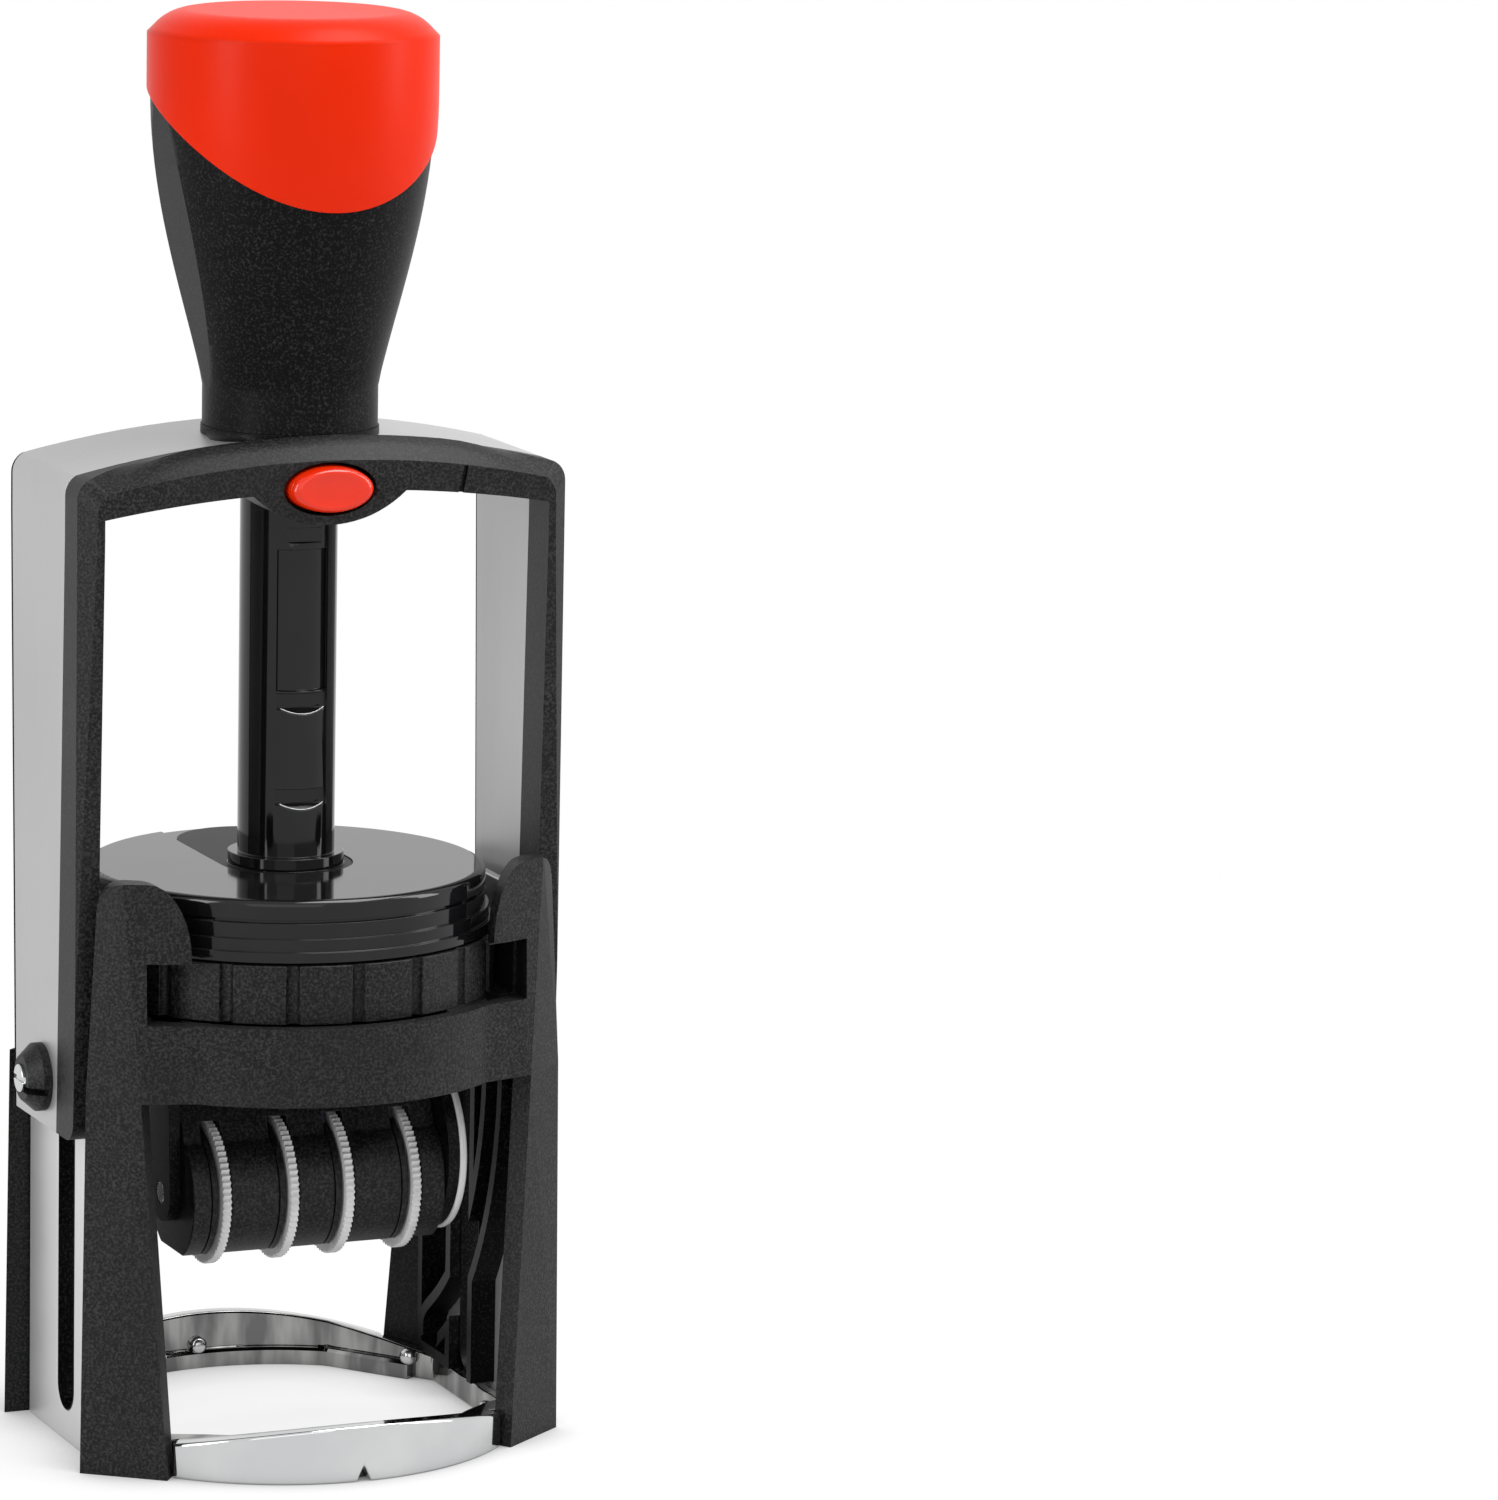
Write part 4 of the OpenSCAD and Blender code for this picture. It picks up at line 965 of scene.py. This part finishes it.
def lamp(name, size, power, place, target):
    """A soft rectangular studio light aimed at a point."""
    light = bpy.data.lights.new(name, "AREA")
    light.shape = "RECTANGLE"
    light.size, light.size_y = size
    light.energy = power
    obj = bpy.data.objects.new(name, light)
    bpy.context.scene.collection.objects.link(obj)
    aim = (Vector(target) - Vector(place)).to_track_quat("-Z", "Y")
    obj.matrix_world = Matrix.Translation(place) @ aim.to_matrix().to_4x4()


class STAMP_OT_stage(bpy.types.Operator):
    """Camera, pale floor, soft lights and white surroundings"""
    bl_idname = "stamp.stage"
    bl_label = "Stage"

    def execute(self, context):
        middle = (0, 0, 0.1)
        self.camera()
        self.floor()
        self.surroundings()
        for name, size, power, place in (
                ("left strip", (0.28, 0.9), 6.5, (-0.95, -0.3, 0.45)),
                ("right strip", (0.28, 0.9), 6, (0.92, -0.36, 0.5)),
                ("top", (0.6, 0.5), 8.5, (0.3, -0.18, 0.95)),
                ("front fill", (1.2, 1.2), 4, (-0.5, -1.35, 0.75))):
            lamp(name, size, power, place, middle)
        context.scene.view_settings.view_transform = "Standard"
        return {"FINISHED"}

    def camera(self):
        """Camera at the photograph's viewing angle."""
        yaw, pitch, roll = (math.radians(angle) for angle in (23.896, 10.4005, 1.2072))
        place = (-0.35394, -0.95584, 0.28332)
        sensor, focal_pixels, picture_pixels = 36, 7520.58, 1498
        ahead = Vector((math.sin(yaw) * math.cos(pitch), math.cos(yaw) * math.cos(pitch),
                        -math.sin(pitch)))
        right = Vector((math.cos(yaw), -math.sin(yaw), 0))
        up = right.cross(ahead)
        tilted_right = math.cos(roll) * right + math.sin(roll) * up
        tilted_up = math.cos(roll) * up - math.sin(roll) * right
        cam = bpy.data.cameras.new("camera")
        cam.sensor_fit = "HORIZONTAL"
        cam.sensor_width = sensor
        cam.lens = sensor * focal_pixels / picture_pixels
        cam.clip_start = 0.01
        obj = bpy.data.objects.new("camera", cam)
        bpy.context.scene.collection.objects.link(obj)
        turn = Matrix((tilted_right, tilted_up, -ahead)).transposed().to_4x4()
        obj.matrix_world = Matrix.Translation(place) @ turn
        bpy.context.scene.camera = obj

    def floor(self):
        """Pale floor, white to the camera, with a painted contact shadow: its colour is darker
        where the object stands on it.
        """
        half_side, corner_depth, rays = 6, 0.012, 8
        near, far = 0.05, 0.2
        bm = bmesh.new()
        bmesh.ops.create_grid(bm, x_segments=1, y_segments=1, size=half_side)
        mesh = bpy.data.meshes.new("floor")
        bm.to_mesh(mesh)
        bm.free()
        obj = bpy.data.objects.new("floor", mesh)
        bpy.context.scene.collection.objects.link(obj)
        f = Finish("pale_floor")
        open_share = f.add("ShaderNodeAmbientOcclusion", {"samples": rays},
                           {"Distance": corner_depth}, "AO")
        # Painted contact shadow: the floor's colour falls from 0.9 to 0.2 where ambient occlusion
        # finds the object close by.
        pale = f.mix(f.ramp(open_share, 0.45, 0.95), grey(0.2), grey(0.9))
        f.set(Base_Color=pale, Roughness=0.9, Specular_IOR_Level=0.0)
        glow = f.add("ShaderNodeEmission", {}, {"Color": WHITE, "Strength": 1.0})
        share = (0.86 + 0.14 * f.ramp(f.reach(), near, far)) * (0.1 + 0.9 * open_share)
        blend = f.add("ShaderNodeMixShader", {}, {0: f.seen() * share, 1: f.surface, 2: glow})
        f.feed(f.out, "Surface", blend)
        mesh.materials.append(f.material)

    def surroundings(self):
        """Soft light from all sides, which the camera and reflections see as white."""
        world = bpy.data.worlds.new("studio")
        bpy.context.scene.world = world
        world.use_nodes = True
        nodes = Nodes(world.node_tree)
        ambient = nodes.add("ShaderNodeBackground", {}, {"Color": WHITE, "Strength": 0.3})
        white = nodes.add("ShaderNodeBackground", {}, {"Color": WHITE, "Strength": 1.0})
        blend = nodes.add("ShaderNodeMixShader", {}, {0: nodes.seen(), 1: ambient, 2: white})
        nodes.feed(nodes.tree.nodes.new("ShaderNodeOutputWorld"), "Surface", blend)


OPERATORS = (
    STAMP_OT_stage, STAMP_OT_frame, STAMP_OT_metal, STAMP_OT_handle, STAMP_OT_lock,
    STAMP_OT_column, STAMP_OT_pad, STAMP_OT_axle, STAMP_OT_carrier)


class STAMP_PT_panel(bpy.types.Panel):
    """Colours, sizes and a button for each group of pieces"""
    bl_idname = "STAMP_PT_panel"
    bl_label = "Time stamp"
    bl_space_type = "VIEW_3D"
    bl_region_type = "UI"
    bl_category = "Stamp"

    def draw(self, context):
        for group in (context.scene.stamp_colours, context.scene.stamp_sizes):
            for name in group.__annotations__:
                self.layout.prop(group, name)
        for operator in OPERATORS:
            self.layout.operator(operator.bl_idname)


CLASSES = (StampColours, StampSizes, *OPERATORS, STAMP_PT_panel)


def register():
    for cls in CLASSES:
        bpy.utils.register_class(cls)
    bpy.types.Scene.stamp_colours = PointerProperty(type=StampColours)
    bpy.types.Scene.stamp_sizes = PointerProperty(type=StampSizes)


def unregister():
    del bpy.types.Scene.stamp_colours
    del bpy.types.Scene.stamp_sizes
    for cls in reversed(CLASSES):
        bpy.utils.unregister_class(cls)


def main():
    """Make the stage and every group of pieces."""
    register()
    bpy.ops.stamp.stage()
    bpy.ops.stamp.frame()
    bpy.ops.stamp.metal()
    bpy.ops.stamp.handle()
    bpy.ops.stamp.lock()
    bpy.ops.stamp.column()
    bpy.ops.stamp.pad()
    bpy.ops.stamp.axle()
    bpy.ops.stamp.carrier()
    bpy.context.view_layer.update()


if __name__ == "__main__":
    main()
